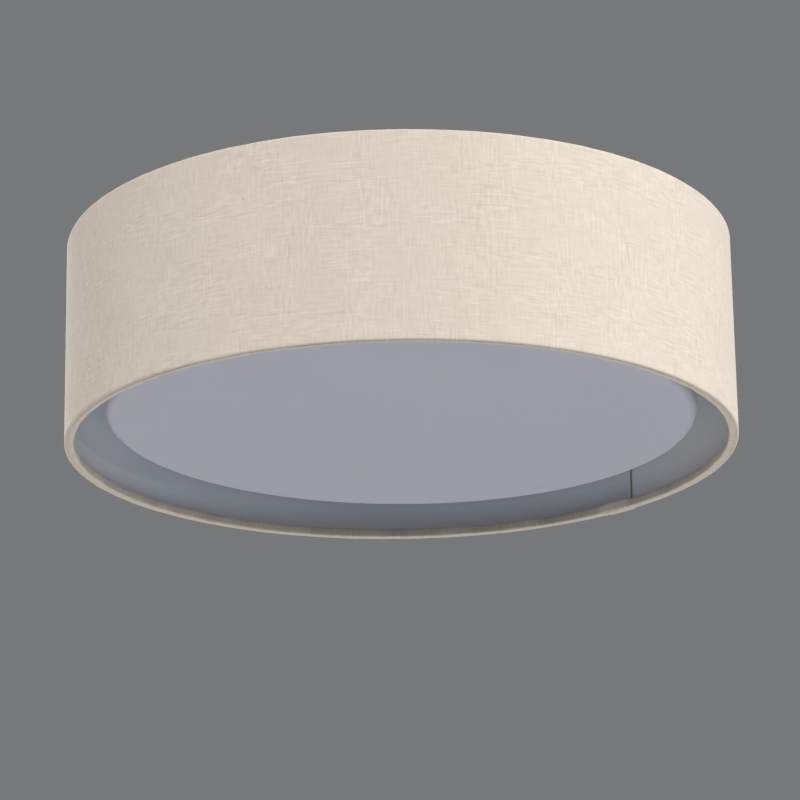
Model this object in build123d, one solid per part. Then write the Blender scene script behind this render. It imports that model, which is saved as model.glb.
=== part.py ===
from build123d import *
import math
import os

# Flush mount ceiling light with a linen drum shade and a milky drum diffuser.
# Millimetres, +Z up. z = 0 is the ceiling and the Z axis is the drum's centre line.

# Shade: linen skin, styrene liner, and a wire ring rolled into each hem
shade_radius = 203.2
shade_height = 124.5
ceiling_gap = 3.0
fabric_thickness = 0.6
liner_thickness = 0.5
glue_gap = 0.1
ring_wire_radius = 1.75
hem_slack = 0.3
hem_tuck_spare = 3.0
liner_seam_angle = 42.7
liner_overlap = 12.0

# Welded lugs that carry the shade, and the captive thumb screws that hold them
lug_angles = (90.0, 210.0, 330.0)
lug_width = 14.0
lug_thickness = 2.0
lug_hole_radius = 1.65
lug_reach = 10.85
lug_notch_margin = 0.3
thumb_head_radius = 6.0
thumb_head_length = 14.0
thumb_head_chamfer = 1.0
thumb_flutes = 24
thumb_flute_depth = 0.45
thumb_neck_radius = 1.45
thumb_thread_radius = 2.0
thumb_thread_length = 3.0
thumb_washer_radius = 5.2
thumb_washer_thickness = 1.0

# Ceiling pan, pressed from sheet
pan_sheet = 1.0
pan_gap = 5.0
pan_depth = 26.0
pan_flange_width = 8.0
pan_floor_bend = 3.0
pan_flange_bend = 1.5

# Brackets under the pan's flange, with pressed-in threaded bushes
bracket_thickness = 2.0
bracket_width = 18.0
bush_radius = 4.5
bush_shoulder_clearance = 0.1
bush_counterbore_radius = 2.6
bush_top_setback = 0.5
thread_clearance = 0.05

# Diffuser, a thermoformed drum that snaps over leaf springs
diffuser_gap = 24.2
diffuser_wall = 2.0
diffuser_recess = 15.5
diffuser_corner = 6.0
diffuser_top_drop = 9.0
diffuser_lip_height = 3.0
diffuser_lip_width = 2.0

# Leaf spring clips on the pan's wall
clip_angles = (30.0, 150.0, 270.0)
clip_sheet = 0.5
clip_width = 14.0
clip_top_drop = 3.5
clip_wall_clearance = 0.8
clip_crest_drop = 1.8
clip_lip_gap = 0.25
clip_length = 15.5
rivet_radius = 1.5
rivet_head_radius = 2.4
rivet_head_height = 1.0
rivet_drop = 6.5
rivet_seat_gap = 0.1

# Mounting strap across the junction box, with two hanging studs
strap_end = 7.5
strap_width = 22.0
strap_thickness = 2.0
strap_corner = 5.0
strap_hole_radius = 5.15
box_slot_spacing = 79.4
box_slot_length = 14.2
box_slot_radius = 2.3
slot_to_stud = 4.7
stud_radius = 2.0
stud_tip_above_nut_end = 1.0
lock_nut_flats = 7.0
lock_nut_height = 3.2
cap_nut_radius = 6.5
cap_nut_height = 10.0
cap_nut_bore_depth = 7.5
ground_screw_x = 20.0
ground_screw_flats = 6.4
ground_screw_head = 2.6

# Four rigid light bars on the pan's face
outer_bar_y = 100.0
outer_bar_length = 190.0
centre_bar_y = 38.0
centre_bar_length = 264.0
bar_width = 13.0
bar_thickness = 1.2
bar_screw_inset = 5.0
chip_length = 3.5
chip_width = 2.8
chip_height = 0.7
chip_pitch = 16.5
chip_end_margin = 12.0
pan_screw_radius = 1.45
pan_screw_head_radius = 2.8
pan_screw_head_height = 1.8
pan_screw_length = 5.0
screw_clearance = 0.1
socket_width = 6.4
socket_depth = 5.0
socket_height = 3.4
link_wire_radius = 0.75
link_wire_spacing = 2.6
link_bow = 3.0
link_place_outer = -4.5
link_place_centre = 6.5
feed_side_gap = 2.25

# Grommet where the driver's output passes the pan
grommet_y = 68.0
grommet_bore = 3.2
grommet_waist = 4.5
grommet_flange = 6.0
grommet_flange_thickness = 1.5
feed_drop_setback = 1.0

# Driver, on the ceiling side of the pan
driver_centre_y = 83.0
driver_length = 112.0
driver_width = 42.0
driver_wall = 1.5
driver_height = 19.0
driver_ear = 10.0
driver_corner = 3.0
driver_rim_height = 2.0
driver_fit = 0.2
driver_board_end_gap = 4.5
driver_board_side_gap = 2.5
driver_board_thickness = 1.6
driver_post_height = 3.0
driver_post_radius = 2.5
driver_post_inset = 6.0
transformer_length = 26.0
transformer_width = 22.0
transformer_height = 8.5
transformer_coil_length = 14.3
transformer_coil_overhang = 2.75
transformer_coil_height = 6.0
transformer_x = 4.0
capacitor_radius = 4.5
capacitor_length = 14.0
capacitor_xs = (-28.0, -16.5, 27.0)
wire_block_length = 8.0
wire_block_width = 12.0
wire_block_height = 6.0
driver_cable_hole = 3.4

# Terminal block for the supply wires
block_centre_y = -52.0
block_pitch = 12.0
block_poles = 3
block_depth = 20.0
block_height = 14.0
block_end = 2.0
block_corner = 1.0
block_wire_hole = 1.7
block_wire_height = 6.0
block_well_radius = 2.1
clamp_width = 5.0
clamp_depth = 15.0
clamp_height = 5.6
clamp_hole = 1.5
clamp_fit = 0.1
clamp_screw_radius = 1.25
clamp_screw_head_radius = 1.8
clamp_screw_head = 1.6
clamp_screw_stand = 1.0
clamp_screw_spacing = 7.0

# Earth stud, its nut and the ring terminal
earth_x = 48.0
earth_y = -68.0
earth_stud_length = 9.0
ring_terminal_radius = 4.0
ring_terminal_thickness = 0.8
ring_barrel_radius = 1.9
ring_barrel_length = 6.0
ring_barrel_bore = 1.2

# Leads behind the pan
lead_radius = 1.1
lead_lift = 0.3
lead_clip_y = (-2.0, 20.0)
lead_spacing = 3.2
lead_run_x = -86.0
lead_run_start_y = -26.0
lead_run_end_y = 38.0
lead_exit = 13.0
lead_side_step = 14.0
lead_side_drop = 22.0
lead_low_x = -46.0
lead_low_drop = 24.0
lead_corner_step = 12.0
lead_corner_drop = 6.0
lead_rise_y = 70.0
lead_rise = 3.0
lead_rise_step = 2.0
lead_entry_step = 14.0
earth_lead_exit = 14.0
earth_lead_step = 8.0
earth_lead_drop = 30.0
earth_lead_low_step = 24.0
earth_lead_low_drop = 38.0
earth_lead_entry = 4.0
lead_clip_width = 5.0
lead_clip_wall = 1.0
lead_clip_foot = 5.0
lead_clip_fit = 0.15

# Places worked out from the sizes
shade_top = -ceiling_gap
shade_bottom = shade_top - shade_height
liner_outer = shade_radius - fabric_thickness - glue_gap
liner_inner = liner_outer - liner_thickness
wrap_inner_radius = ring_wire_radius + hem_slack
wrap_outer_radius = wrap_inner_radius + fabric_thickness
ring_radius = liner_inner - glue_gap - wrap_inner_radius
screw_circle_radius = ring_radius - lug_reach
hem_radius = (shade_radius - ring_radius + wrap_outer_radius) / 2
hem_centre_radius = shade_radius - hem_radius
top_ring_z = shade_top - hem_radius
bottom_ring_z = shade_bottom + hem_radius
lug_top = top_ring_z - ring_wire_radius
lug_bottom = lug_top - lug_thickness
diffuser_radius = shade_radius - diffuser_gap
pan_radius = diffuser_radius - diffuser_wall - pan_gap
pan_flange_radius = pan_radius + pan_flange_width
clip_bulge = pan_gap - clip_wall_clearance
pan_face = -pan_depth
pan_floor = pan_face + pan_sheet
bracket_top = -pan_sheet
bracket_bottom = bracket_top - bracket_thickness
thread_hole_radius = thumb_thread_radius + thread_clearance
screw_tip = bracket_top - bush_top_setback
thread_end = screw_tip - thumb_thread_length
head_top = lug_bottom - thumb_washer_thickness
diffuser_face = shade_bottom + diffuser_recess
diffuser_top = -diffuser_top_drop
stud_spacing = box_slot_spacing + box_slot_length + 2 * slot_to_stud
strap_length = stud_spacing + 2 * strap_end
bar_face = pan_face - bar_thickness
bar_rows = (
    (outer_bar_y, outer_bar_length),
    (centre_bar_y, centre_bar_length),
    (-centre_bar_y, centre_bar_length),
    (-outer_bar_y, outer_bar_length),
)
link_x_outer = link_place_outer * chip_pitch
link_x_centre = link_place_centre * chip_pitch
feed_x = driver_length / 2 + driver_ear + grommet_flange + feed_side_gap
driver_base_top = pan_floor + driver_wall
driver_cover_top = pan_floor + driver_height
driver_board_length = driver_length - 2 * (driver_wall + driver_board_end_gap)
driver_board_width = driver_width - 2 * (driver_wall + driver_board_side_gap)
driver_board_top = driver_base_top + driver_post_height + driver_board_thickness
driver_wire_z = driver_board_top + wire_block_height / 2
block_length = block_poles * block_pitch + 2 * block_end
block_wire_z = pan_floor + block_wire_height
link_wire_z = bar_face - socket_height / 2
lead_floor_z = pan_floor + lead_radius + lead_lift


def box(x_range, y_range, z_range):
    size = [high - low for low, high in (x_range, y_range, z_range)]
    centre = [(high + low) / 2 for low, high in (x_range, y_range, z_range)]
    return Pos(*centre) * Box(*size)


def rod(radius, bottom, top, x=0.0, y=0.0):
    return Pos(x, y, (bottom + top) / 2) * Cylinder(radius, top - bottom)


def hexagon(flats, bottom, top, x=0.0, y=0.0):
    outline = RegularPolygon(flats / math.sqrt(3), 6)
    return Pos(x, y, bottom) * extrude(outline, top - bottom)


def turned(edges):
    # A profile drawn as (radius, height), spun about the Z axis
    return revolve(Plane.XZ * make_face(edges), Axis.Z)


def round_about(shape, angle):
    return Rot(0, 0, angle) * shape


def straight(points):
    return Polyline(*points)


def arc(centre, radius, start, sweep_angle):
    return CenterArc(centre, radius, start, sweep_angle)


def bend_radii(points):
    # Each bend is as large as its two runs allow
    radii = []
    for before, corner, after in zip(points, points[1:], points[2:]):
        first = Vector(*corner) - Vector(*before)
        second = Vector(*after) - Vector(*corner)
        half_turn = math.radians(first.get_angle(second)) / 2
        radii.append(0.45 * min(first.length, second.length) / math.tan(half_turn))
    return radii


def wire_along(points, radius, name):
    radii = bend_radii(points)
    path = FilletPolyline(*points, radius=radii)
    section = Plane(origin=points[0], z_dir=path % 0) * Circle(radius)
    wire = sweep(section, path=path)
    length = sum(edge.length for edge in path.edges())
    share = wire.volume / (math.pi * radius**2 * length)
    print(name, "length", round(length, 1), "radii", [round(r, 1) for r in radii], "fill", round(share, 4))
    return wire


def hem_edges(ring_z, side):
    # Fabric rolled round the wire, from the skin's outer face to its inner face. side is -1 below, 1 above.
    tuck = math.degrees(math.acos(ring_wire_radius / wrap_outer_radius)) + hem_tuck_spare
    wrap = 180 - tuck
    centre = (ring_radius, ring_z)
    roll = (hem_centre_radius, ring_z)
    end_angle = -side * tuck
    tip = [
        (ring_radius + r * math.cos(math.radians(end_angle)), ring_z + r * math.sin(math.radians(end_angle)))
        for r in (wrap_outer_radius, wrap_inner_radius)
    ]
    return [
        arc(roll, hem_radius, 0, side * 180),
        arc(centre, wrap_outer_radius, 180, side * wrap),
        straight(tip),
        arc(centre, wrap_inner_radius, 180, side * wrap),
        arc(roll, hem_radius - fabric_thickness, 0, side * 180),
    ]


def shade_fabric():
    skin_inner = shade_radius - fabric_thickness
    edges = [
        *hem_edges(top_ring_z, 1),
        *hem_edges(bottom_ring_z, -1),
        straight([(shade_radius, bottom_ring_z), (shade_radius, top_ring_z)]),
        straight([(skin_inner, bottom_ring_z), (skin_inner, top_ring_z)]),
    ]
    cloth = turned(edges)
    half_notch = lug_width / 2 + lug_notch_margin
    notch = box(
        (ring_radius - 2 * hem_radius, liner_inner + glue_gap / 2),
        (-half_notch, half_notch),
        (lug_bottom - hem_radius, top_ring_z),
    )
    for angle in lug_angles:
        cloth -= round_about(notch, angle)
    return cloth


def shade_liner():
    tube = rod(liner_outer, bottom_ring_z, top_ring_z) - rod(liner_inner, bottom_ring_z, top_ring_z)
    low = bottom_ring_z + wrap_outer_radius + glue_gap
    high = top_ring_z - wrap_outer_radius - glue_gap
    flap_inner = liner_inner - liner_thickness
    flap_angle = math.degrees(liner_overlap / liner_inner)
    wedge = Polyline(
        (0, 0),
        *[
            (2 * shade_radius * math.cos(math.radians(a)), 2 * shade_radius * math.sin(math.radians(a)))
            for a in (liner_seam_angle, liner_seam_angle + flap_angle)
        ],
        close=True,
    )
    flap = rod(liner_inner + liner_thickness / 2, low, high) - rod(flap_inner, low, high)
    flap &= Pos(0, 0, low) * extrude(make_face(wedge), high - low)
    return tube + flap


def hem_ring(ring_z):
    return turned([arc((ring_radius, ring_z), ring_wire_radius, 0, 360)])


def shade_lug():
    outline = Pos((screw_circle_radius + ring_radius) / 2, 0) * Rectangle(
        ring_radius - screw_circle_radius, lug_width
    ) + Pos(screw_circle_radius, 0) * Circle(lug_width / 2)
    plate = Pos(0, 0, lug_bottom) * extrude(outline, lug_thickness)
    return plate - rod(lug_hole_radius, lug_bottom, lug_top, screw_circle_radius)


def thumb_screw():
    count = 2 * thumb_flutes
    outline = [
        (
            (thumb_head_radius - thumb_flute_depth * (i % 2)) * math.cos(2 * math.pi * i / count),
            (thumb_head_radius - thumb_flute_depth * (i % 2)) * math.sin(2 * math.pi * i / count),
        )
        for i in range(count)
    ]
    knurl = extrude(make_face(Polyline(*outline, close=True)), thumb_head_length)
    head = Pos(screw_circle_radius, 0, head_top - thumb_head_length) * knurl
    blank = Cylinder(thumb_head_radius, thumb_head_length)
    blank = chamfer(blank.edges().filter_by(GeomType.CIRCLE), thumb_head_chamfer)
    head &= Pos(screw_circle_radius, 0, head_top - thumb_head_length / 2) * blank
    neck = rod(thumb_neck_radius, head_top, thread_end, screw_circle_radius)
    thread = rod(thumb_thread_radius, thread_end, screw_tip, screw_circle_radius)
    return head + neck + thread


def thumb_washer():
    outer = rod(thumb_washer_radius, head_top, lug_bottom, screw_circle_radius)
    return outer - rod(lug_hole_radius, head_top, lug_bottom, screw_circle_radius)


def pan():
    floor_centre = (pan_radius - pan_floor_bend, pan_face + pan_floor_bend)
    inner_bend = pan_floor_bend - pan_sheet
    flange_centre = (pan_radius + pan_flange_bend, -pan_sheet - pan_flange_bend)
    outer_bend = pan_flange_bend + pan_sheet
    edges = [
        straight([(0, pan_face), (floor_centre[0], pan_face)]),
        arc(floor_centre, pan_floor_bend, -90, 90),
        straight([(pan_radius, floor_centre[1]), (pan_radius, flange_centre[1])]),
        arc(flange_centre, pan_flange_bend, 180, -90),
        straight(
            [
                (flange_centre[0], -pan_sheet),
                (pan_flange_radius, -pan_sheet),
                (pan_flange_radius, 0),
                (flange_centre[0], 0),
            ]
        ),
        arc(flange_centre, outer_bend, 180, -90),
        straight([(pan_radius - pan_sheet, flange_centre[1]), (pan_radius - pan_sheet, floor_centre[1])]),
        arc(floor_centre, inner_bend, -90, 90),
        straight([(floor_centre[0], pan_floor), (0, pan_floor), (0, pan_face)]),
    ]
    dish = turned(edges)
    holes = [(x, 0, stud_radius + 0.5) for x in (-stud_spacing / 2, stud_spacing / 2)]
    holes += [(x, y, pan_screw_radius + screw_clearance) for x, y in pan_screw_places()]
    holes += [(x, y, pan_screw_radius + screw_clearance) for x, y in driver_screw_places()]
    holes += [(x, y, pan_screw_radius + screw_clearance) for x, y in block_screw_places()]
    holes += [(feed_x, grommet_y, grommet_waist), (earth_x, earth_y, stud_radius + screw_clearance)]
    for x, y, radius in holes:
        dish -= rod(radius, pan_face - pan_sheet, pan_floor + pan_sheet, x, y)
    for angle in clip_angles:
        dish -= round_about(rivet_hole(), angle)
    return dish


def rivet_hole():
    drill = Rot(0, 90, 0) * Cylinder(rivet_radius + screw_clearance, 6 * pan_sheet)
    return Pos(pan_radius, 0, -rivet_drop) * drill


def shade_bracket():
    reach = screw_circle_radius - pan_radius
    outline = Pos(pan_radius + reach / 2, 0) * Rectangle(reach, bracket_width)
    outline += Pos(screw_circle_radius, 0) * Circle(bracket_width / 2)
    outline -= Circle(pan_radius + pan_flange_bend)
    plate = Pos(0, 0, bracket_bottom) * extrude(outline, bracket_thickness)
    return plate - rod(bush_radius, bracket_bottom, bracket_top, screw_circle_radius)


def bracket_bush():
    body = rod(bush_radius, lug_top, bracket_top, screw_circle_radius)
    body -= rod(thread_hole_radius, lug_top, bracket_top, screw_circle_radius)
    shoulder = thread_end - bush_shoulder_clearance
    return body - rod(bush_counterbore_radius, lug_top, shoulder, screw_circle_radius)


def diffuser():
    inner = diffuser_radius - diffuser_wall
    inner_face = diffuser_face + diffuser_wall
    corner_in = diffuser_corner - diffuser_wall
    corner = (diffuser_radius - diffuser_corner, diffuser_face + diffuser_corner)
    lip_bottom = diffuser_top - diffuser_lip_height
    lip_inner = inner - diffuser_lip_width
    return turned(
        [
            straight([(0, diffuser_face), (corner[0], diffuser_face)]),
            arc(corner, diffuser_corner, -90, 90),
            straight(
                [
                    (diffuser_radius, corner[1]),
                    (diffuser_radius, diffuser_top),
                    (lip_inner, diffuser_top),
                    (lip_inner, lip_bottom),
                    (inner, lip_bottom),
                    (inner, corner[1]),
                ]
            ),
            arc(corner, corner_in, -90, 90),
            straight([(corner[0], inner_face), (0, inner_face), (0, diffuser_face)]),
        ]
    )


def diffuser_clip():
    # A leaf that lies on the pan's wall, swells out under the diffuser's lip and comes back
    lip_inner = diffuser_radius - diffuser_wall - diffuser_lip_width
    lip_bottom = diffuser_top - diffuser_lip_height
    slope = clip_crest_drop / (clip_bulge - clip_sheet)
    half_sheet = clip_sheet / 2 * math.hypot(1, slope)
    shoulder_z = lip_bottom - clip_lip_gap - half_sheet + slope * (lip_inner - pan_radius - clip_sheet / 2)
    crest_z = shoulder_z - clip_crest_drop
    end_z = -clip_top_drop - clip_length
    spine = [
        (pan_radius + clip_sheet / 2, -clip_top_drop),
        (pan_radius + clip_sheet / 2, shoulder_z),
        (pan_radius + clip_bulge - clip_sheet / 2, crest_z),
        (pan_radius + clip_bulge - clip_sheet / 2, crest_z - clip_sheet),
        (pan_radius + clip_sheet, end_z),
    ]
    leaf = thicken_line(spine, clip_sheet)
    plate = extrude(Plane.XZ * leaf, clip_width / 2, both=True)
    return plate - rivet_hole()


def thicken_line(points, thickness):
    # Both sides of a bent strip, each corner mitred
    sides = ([], [])
    for i, (x, z) in enumerate(points):
        runs = [(points[j], points[j + 1]) for j in (i - 1, i) if 0 <= j < len(points) - 1]
        normals = []
        for (x0, z0), (x1, z1) in runs:
            length = math.hypot(x1 - x0, z1 - z0)
            normals.append(((z1 - z0) / length, -(x1 - x0) / length))
        nx, nz = (sum(n[k] for n in normals) / len(normals) for k in (0, 1))
        grow = thickness / 2 / (nx * nx + nz * nz)
        for side, sign in zip(sides, (1, -1)):
            side.append((x + sign * nx * grow, z + sign * nz * grow))
    return make_face(Polyline(*sides[0], *reversed(sides[1]), close=True))


def clip_rivet():
    # The inner head is flat, so it bears on the curved wall at its two sides
    inside = math.sqrt((pan_radius - pan_sheet) ** 2 - rivet_head_radius**2) - rivet_seat_gap
    outside = pan_radius + clip_sheet
    turned_rod = Rot(0, 90, 0) * Cylinder(rivet_radius, outside - inside)
    head = Rot(0, 90, 0) * Cylinder(rivet_head_radius, rivet_head_height)
    shank = Pos((inside + outside) / 2, 0, -rivet_drop) * turned_rod
    outer_head = Pos(outside + rivet_head_height / 2, 0, -rivet_drop) * head
    inner_head = Pos(inside - rivet_head_height / 2, 0, -rivet_drop) * head
    return shank + outer_head + inner_head


def mounting_strap():
    outline = RectangleRounded(strap_length, strap_width, strap_corner)
    for x in (-box_slot_spacing / 2, box_slot_spacing / 2):
        outline -= Pos(x, 0) * SlotOverall(box_slot_length, 2 * box_slot_radius)
    for x in (-stud_spacing / 2, stud_spacing / 2):
        outline -= Pos(x, 0) * Circle(stud_radius + thread_clearance)
    outline -= Pos(ground_screw_x, 0) * Circle(stud_radius + thread_clearance)
    outline -= Circle(strap_hole_radius)
    return Pos(0, 0, -strap_thickness) * extrude(outline, strap_thickness)


def strap_stud(x):
    tip = pan_face - cap_nut_bore_depth + stud_tip_above_nut_end
    return chamfer(rod(stud_radius, tip, 0, x).edges().group_by(Axis.Z)[0], 0.5)


def lock_nut(x):
    low = -strap_thickness - lock_nut_height
    nut = hexagon(lock_nut_flats, low, -strap_thickness, x)
    return nut - rod(stud_radius + thread_clearance, low, -strap_thickness, x)


def cap_nut(x):
    crown = rod(cap_nut_radius, pan_face - cap_nut_height, pan_face, x)
    crown = fillet(crown.edges().group_by(Axis.Z)[0], cap_nut_radius * 0.45)
    return crown - rod(stud_radius + thread_clearance, pan_face - cap_nut_bore_depth, pan_face, x)


def ground_screw():
    low = -strap_thickness - ground_screw_head
    head = hexagon(ground_screw_flats, low, -strap_thickness, ground_screw_x)
    return head + rod(stud_radius, -strap_thickness, -strap_thickness / 10, ground_screw_x)


def bar_screw_xs(length):
    reach = length / 2 - bar_screw_inset
    return (-reach, reach)


def pan_screw_places():
    return [(x, y) for y, length in bar_rows for x in bar_screw_xs(length)]


def driver_screw_places():
    reach = driver_length / 2 + driver_ear / 2
    return [(-reach, driver_centre_y), (reach, driver_centre_y)]


def block_screw_places():
    return [(-block_pitch / 2, block_centre_y), (block_pitch / 2, block_centre_y)]


def light_bar(y, length):
    bar = box((-length / 2, length / 2), (y - bar_width / 2, y + bar_width / 2), (bar_face, pan_face))
    for x in bar_screw_xs(length):
        bar -= rod(pan_screw_radius + screw_clearance, bar_face, pan_face, x, y)
    return bar


def light_chips():
    chips = []
    for y, length in bar_rows:
        count = int((length - 2 * chip_end_margin) / chip_pitch) + 1
        for i in range(count):
            x = (i - (count - 1) / 2) * chip_pitch
            chips.append(
                box(
                    (x - chip_length / 2, x + chip_length / 2),
                    (y - chip_width / 2, y + chip_width / 2),
                    (bar_face - chip_height, bar_face),
                )
            )
    return chips


def pan_screw(x, y, seat, direction):
    # direction 1 drives up into the pan from its face, -1 drives down from the ceiling side
    head_far = seat - direction * pan_screw_head_height
    tip = seat + direction * pan_screw_length
    head = rod(pan_screw_head_radius, min(seat, head_far), max(seat, head_far), x, y)
    shank = rod(pan_screw_radius, min(seat, tip), max(seat, tip), x, y)
    return head + shank


def connector(x, y_edge, inward):
    # A two-pole socket at a bar's edge. inward is the way its wires leave.
    far = y_edge - inward * socket_depth
    half = socket_width / 2
    ys = (min(y_edge, far), max(y_edge, far))
    return box((x - half, x + half), ys, (bar_face - socket_height, bar_face))


def link_ends():
    # Each pair of neighbouring bars, with the place of the wires between them
    half = bar_width / 2
    rows = [y for y, _ in bar_rows]
    places = (link_x_outer, link_x_centre, link_x_outer)
    return [(x, upper - half, lower + half) for x, upper, lower in zip(places, rows, rows[1:])]


def connectors():
    sockets = [connector(feed_x, bar_rows[0][0] - bar_width / 2, -1)]
    for x, upper, lower in link_ends():
        sockets += [connector(x, upper, -1), connector(x, lower, 1)]
    return sockets


def link_wires():
    wires = []
    for x, upper, lower in link_ends():
        span = upper - lower
        for side in (-1, 1):
            start = x + side * link_wire_spacing / 2
            bowed = start + link_bow
            points = [
                (start, upper, link_wire_z),
                (start, upper - span * 0.18, link_wire_z),
                (bowed, upper - span * 0.42, link_wire_z),
                (bowed, upper - span * 0.62, link_wire_z),
                (start, upper - span * 0.84, link_wire_z),
                (start, lower, link_wire_z),
            ]
            wires.append(wire_along(points, link_wire_radius, "link wire"))
    return wires


def grommet():
    low = pan_face - grommet_flange_thickness
    high = pan_floor + grommet_flange_thickness
    body = rod(grommet_flange, low, pan_face, feed_x, grommet_y)
    body += rod(grommet_waist - screw_clearance, pan_face, pan_floor, feed_x, grommet_y)
    body += rod(grommet_flange, pan_floor, high, feed_x, grommet_y)
    return body - rod(grommet_bore, low, high, feed_x, grommet_y)


def driver_range(margin_x=0.0, margin_y=0.0):
    half_length = driver_length / 2 - margin_x
    half_width = driver_width / 2 - margin_y
    return (-half_length, half_length), (driver_centre_y - half_width, driver_centre_y + half_width)


def driver_base():
    xs, ys = driver_range()
    plate = RectangleRounded(driver_length + 2 * driver_ear, driver_width, driver_corner)
    base = Pos(0, driver_centre_y, pan_floor) * extrude(plate, driver_wall)
    gap = driver_wall + driver_fit
    inner_xs, inner_ys = driver_range(gap, gap)
    deep_xs, deep_ys = driver_range(gap + driver_wall, gap + driver_wall)
    rim_top = driver_base_top + driver_rim_height
    rim_zs = (driver_base_top, rim_top)
    rim = box(inner_xs, inner_ys, rim_zs) - box(deep_xs, deep_ys, rim_zs)
    base += rim
    for x, y in driver_post_places():
        base += rod(driver_post_radius, driver_base_top, driver_base_top + driver_post_height, x, y)
    for x, y in driver_screw_places():
        base -= rod(pan_screw_radius + screw_clearance, pan_floor, driver_base_top, x, y)
    return base


def driver_post_places():
    reach_x = driver_board_length / 2 - driver_post_inset
    reach_y = driver_board_width / 2 - driver_post_inset
    return [(sx * reach_x, driver_centre_y + sy * reach_y) for sx in (-1, 1) for sy in (-1, 1)]


def driver_cover():
    xs, ys = driver_range()
    inner_xs, inner_ys = driver_range(driver_wall, driver_wall)
    shell = box(xs, ys, (driver_base_top, driver_cover_top))
    shell = fillet(shell.edges().filter_by(Axis.Z) + shell.edges().group_by(Axis.Z)[-1], driver_wall * 0.8)
    shell -= box(inner_xs, inner_ys, (driver_base_top, driver_cover_top - driver_wall))
    hole = Rot(0, 90, 0) * Cylinder(driver_cable_hole, 4 * driver_wall)
    for x in xs:
        shell -= Pos(x, driver_centre_y, driver_wire_z) * hole
    return shell


def driver_board():
    board = Box(driver_board_length, driver_board_width, driver_board_thickness)
    return Pos(0, driver_centre_y, driver_board_top - driver_board_thickness / 2) * board


def driver_transformer():
    core = Box(transformer_length, transformer_width, transformer_height)
    coil_width = transformer_width + 2 * transformer_coil_overhang
    coil = Box(transformer_coil_length, coil_width, transformer_coil_height)
    return Pos(transformer_x, driver_centre_y, driver_board_top + transformer_height / 2) * (core + coil)


def driver_capacitors():
    axis_z = driver_board_top + capacitor_radius
    can = Rot(90, 0, 0) * Cylinder(capacitor_radius, capacitor_length)
    return [Pos(x, driver_centre_y, axis_z) * can for x in capacitor_xs]


def driver_blocks():
    half_board = driver_board_length / 2
    block = Box(wire_block_length, wire_block_width, wire_block_height)
    reach = half_board - wire_block_length / 2
    return [Pos(x, driver_centre_y, driver_wire_z) * block for x in (-reach, reach)]


def block_pole_xs():
    return [(i - (block_poles - 1) / 2) * block_pitch for i in range(block_poles)]


def terminal_block():
    half_depth = block_depth / 2
    housing = box(
        (-block_length / 2, block_length / 2),
        (block_centre_y - half_depth, block_centre_y + half_depth),
        (pan_floor, pan_floor + block_height),
    )
    housing = fillet(housing.edges().filter_by(Axis.Z), block_corner)
    channel = [size + 2 * clamp_fit for size in (clamp_width, clamp_depth, clamp_height)]
    wire_hole = Rot(90, 0, 0) * Cylinder(block_wire_hole, 2 * block_depth)
    for x in block_pole_xs():
        housing -= Pos(x, block_centre_y, block_wire_z) * Box(*channel)
        housing -= Pos(x, block_centre_y, block_wire_z) * wire_hole
        for y in clamp_screw_ys():
            housing -= rod(block_well_radius, block_wire_z, pan_floor + block_height, x, y)
    for x, y in block_screw_places():
        housing -= rod(pan_screw_radius + screw_clearance, pan_floor, pan_floor + block_height, x, y)
        housing -= rod(
            pan_screw_head_radius + screw_clearance, block_screw_seat(), pan_floor + block_height, x, y
        )
    return housing


def block_screw_seat():
    return pan_floor + pan_screw_length - pan_sheet


def clamp_screw_ys():
    return (block_centre_y - clamp_screw_spacing / 2, block_centre_y + clamp_screw_spacing / 2)


def terminal_clamps():
    clamps = []
    for x in block_pole_xs():
        clamp = Pos(x, block_centre_y, block_wire_z) * Box(clamp_width, clamp_depth, clamp_height)
        clamp -= Pos(x, block_centre_y, block_wire_z) * Rot(90, 0, 0) * Cylinder(clamp_hole, 2 * block_depth)
        for y in clamp_screw_ys():
            hole_radius = clamp_screw_radius + screw_clearance
            clamp -= rod(hole_radius, block_wire_z, block_wire_z + clamp_height, x, y)
        clamps.append(clamp)
    return clamps


def terminal_screws():
    screws = []
    top = block_wire_z + clamp_height / 2
    for x in block_pole_xs():
        for y in clamp_screw_ys():
            seat = top + clamp_screw_stand
            shank = rod(clamp_screw_radius, block_wire_z + clamp_hole, seat, x, y)
            screws.append(shank + rod(clamp_screw_head_radius, seat, seat + clamp_screw_head, x, y))
    return screws


def earth_stud():
    head = rod(2 * stud_radius, pan_face - pan_sheet, pan_face, earth_x, earth_y)
    return head + rod(stud_radius, pan_face, pan_floor + earth_stud_length, earth_x, earth_y)


def earth_nut():
    low = pan_floor + ring_terminal_thickness
    nut = hexagon(lock_nut_flats, low, low + lock_nut_height, earth_x, earth_y)
    return nut - rod(stud_radius + thread_clearance, low, low + lock_nut_height, earth_x, earth_y)


def ring_terminal():
    top = pan_floor + ring_terminal_thickness
    ring = rod(ring_terminal_radius, pan_floor, top, earth_x, earth_y)
    tongue_end = earth_y - ring_terminal_radius - 1.0
    half_width = ring_barrel_radius - 0.3
    ring += box((earth_x - half_width, earth_x + half_width), (tongue_end, earth_y), (pan_floor, top))
    ring -= rod(stud_radius + thread_clearance, pan_floor, top, earth_x, earth_y)
    barrel = Cylinder(ring_barrel_radius, ring_barrel_length) - Cylinder(ring_barrel_bore, ring_barrel_length)
    barrel_z = pan_floor + ring_barrel_radius
    return ring + Pos(earth_x, tongue_end - ring_barrel_length / 2 + 0.4, barrel_z) * Rot(90, 0, 0) * barrel


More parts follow.
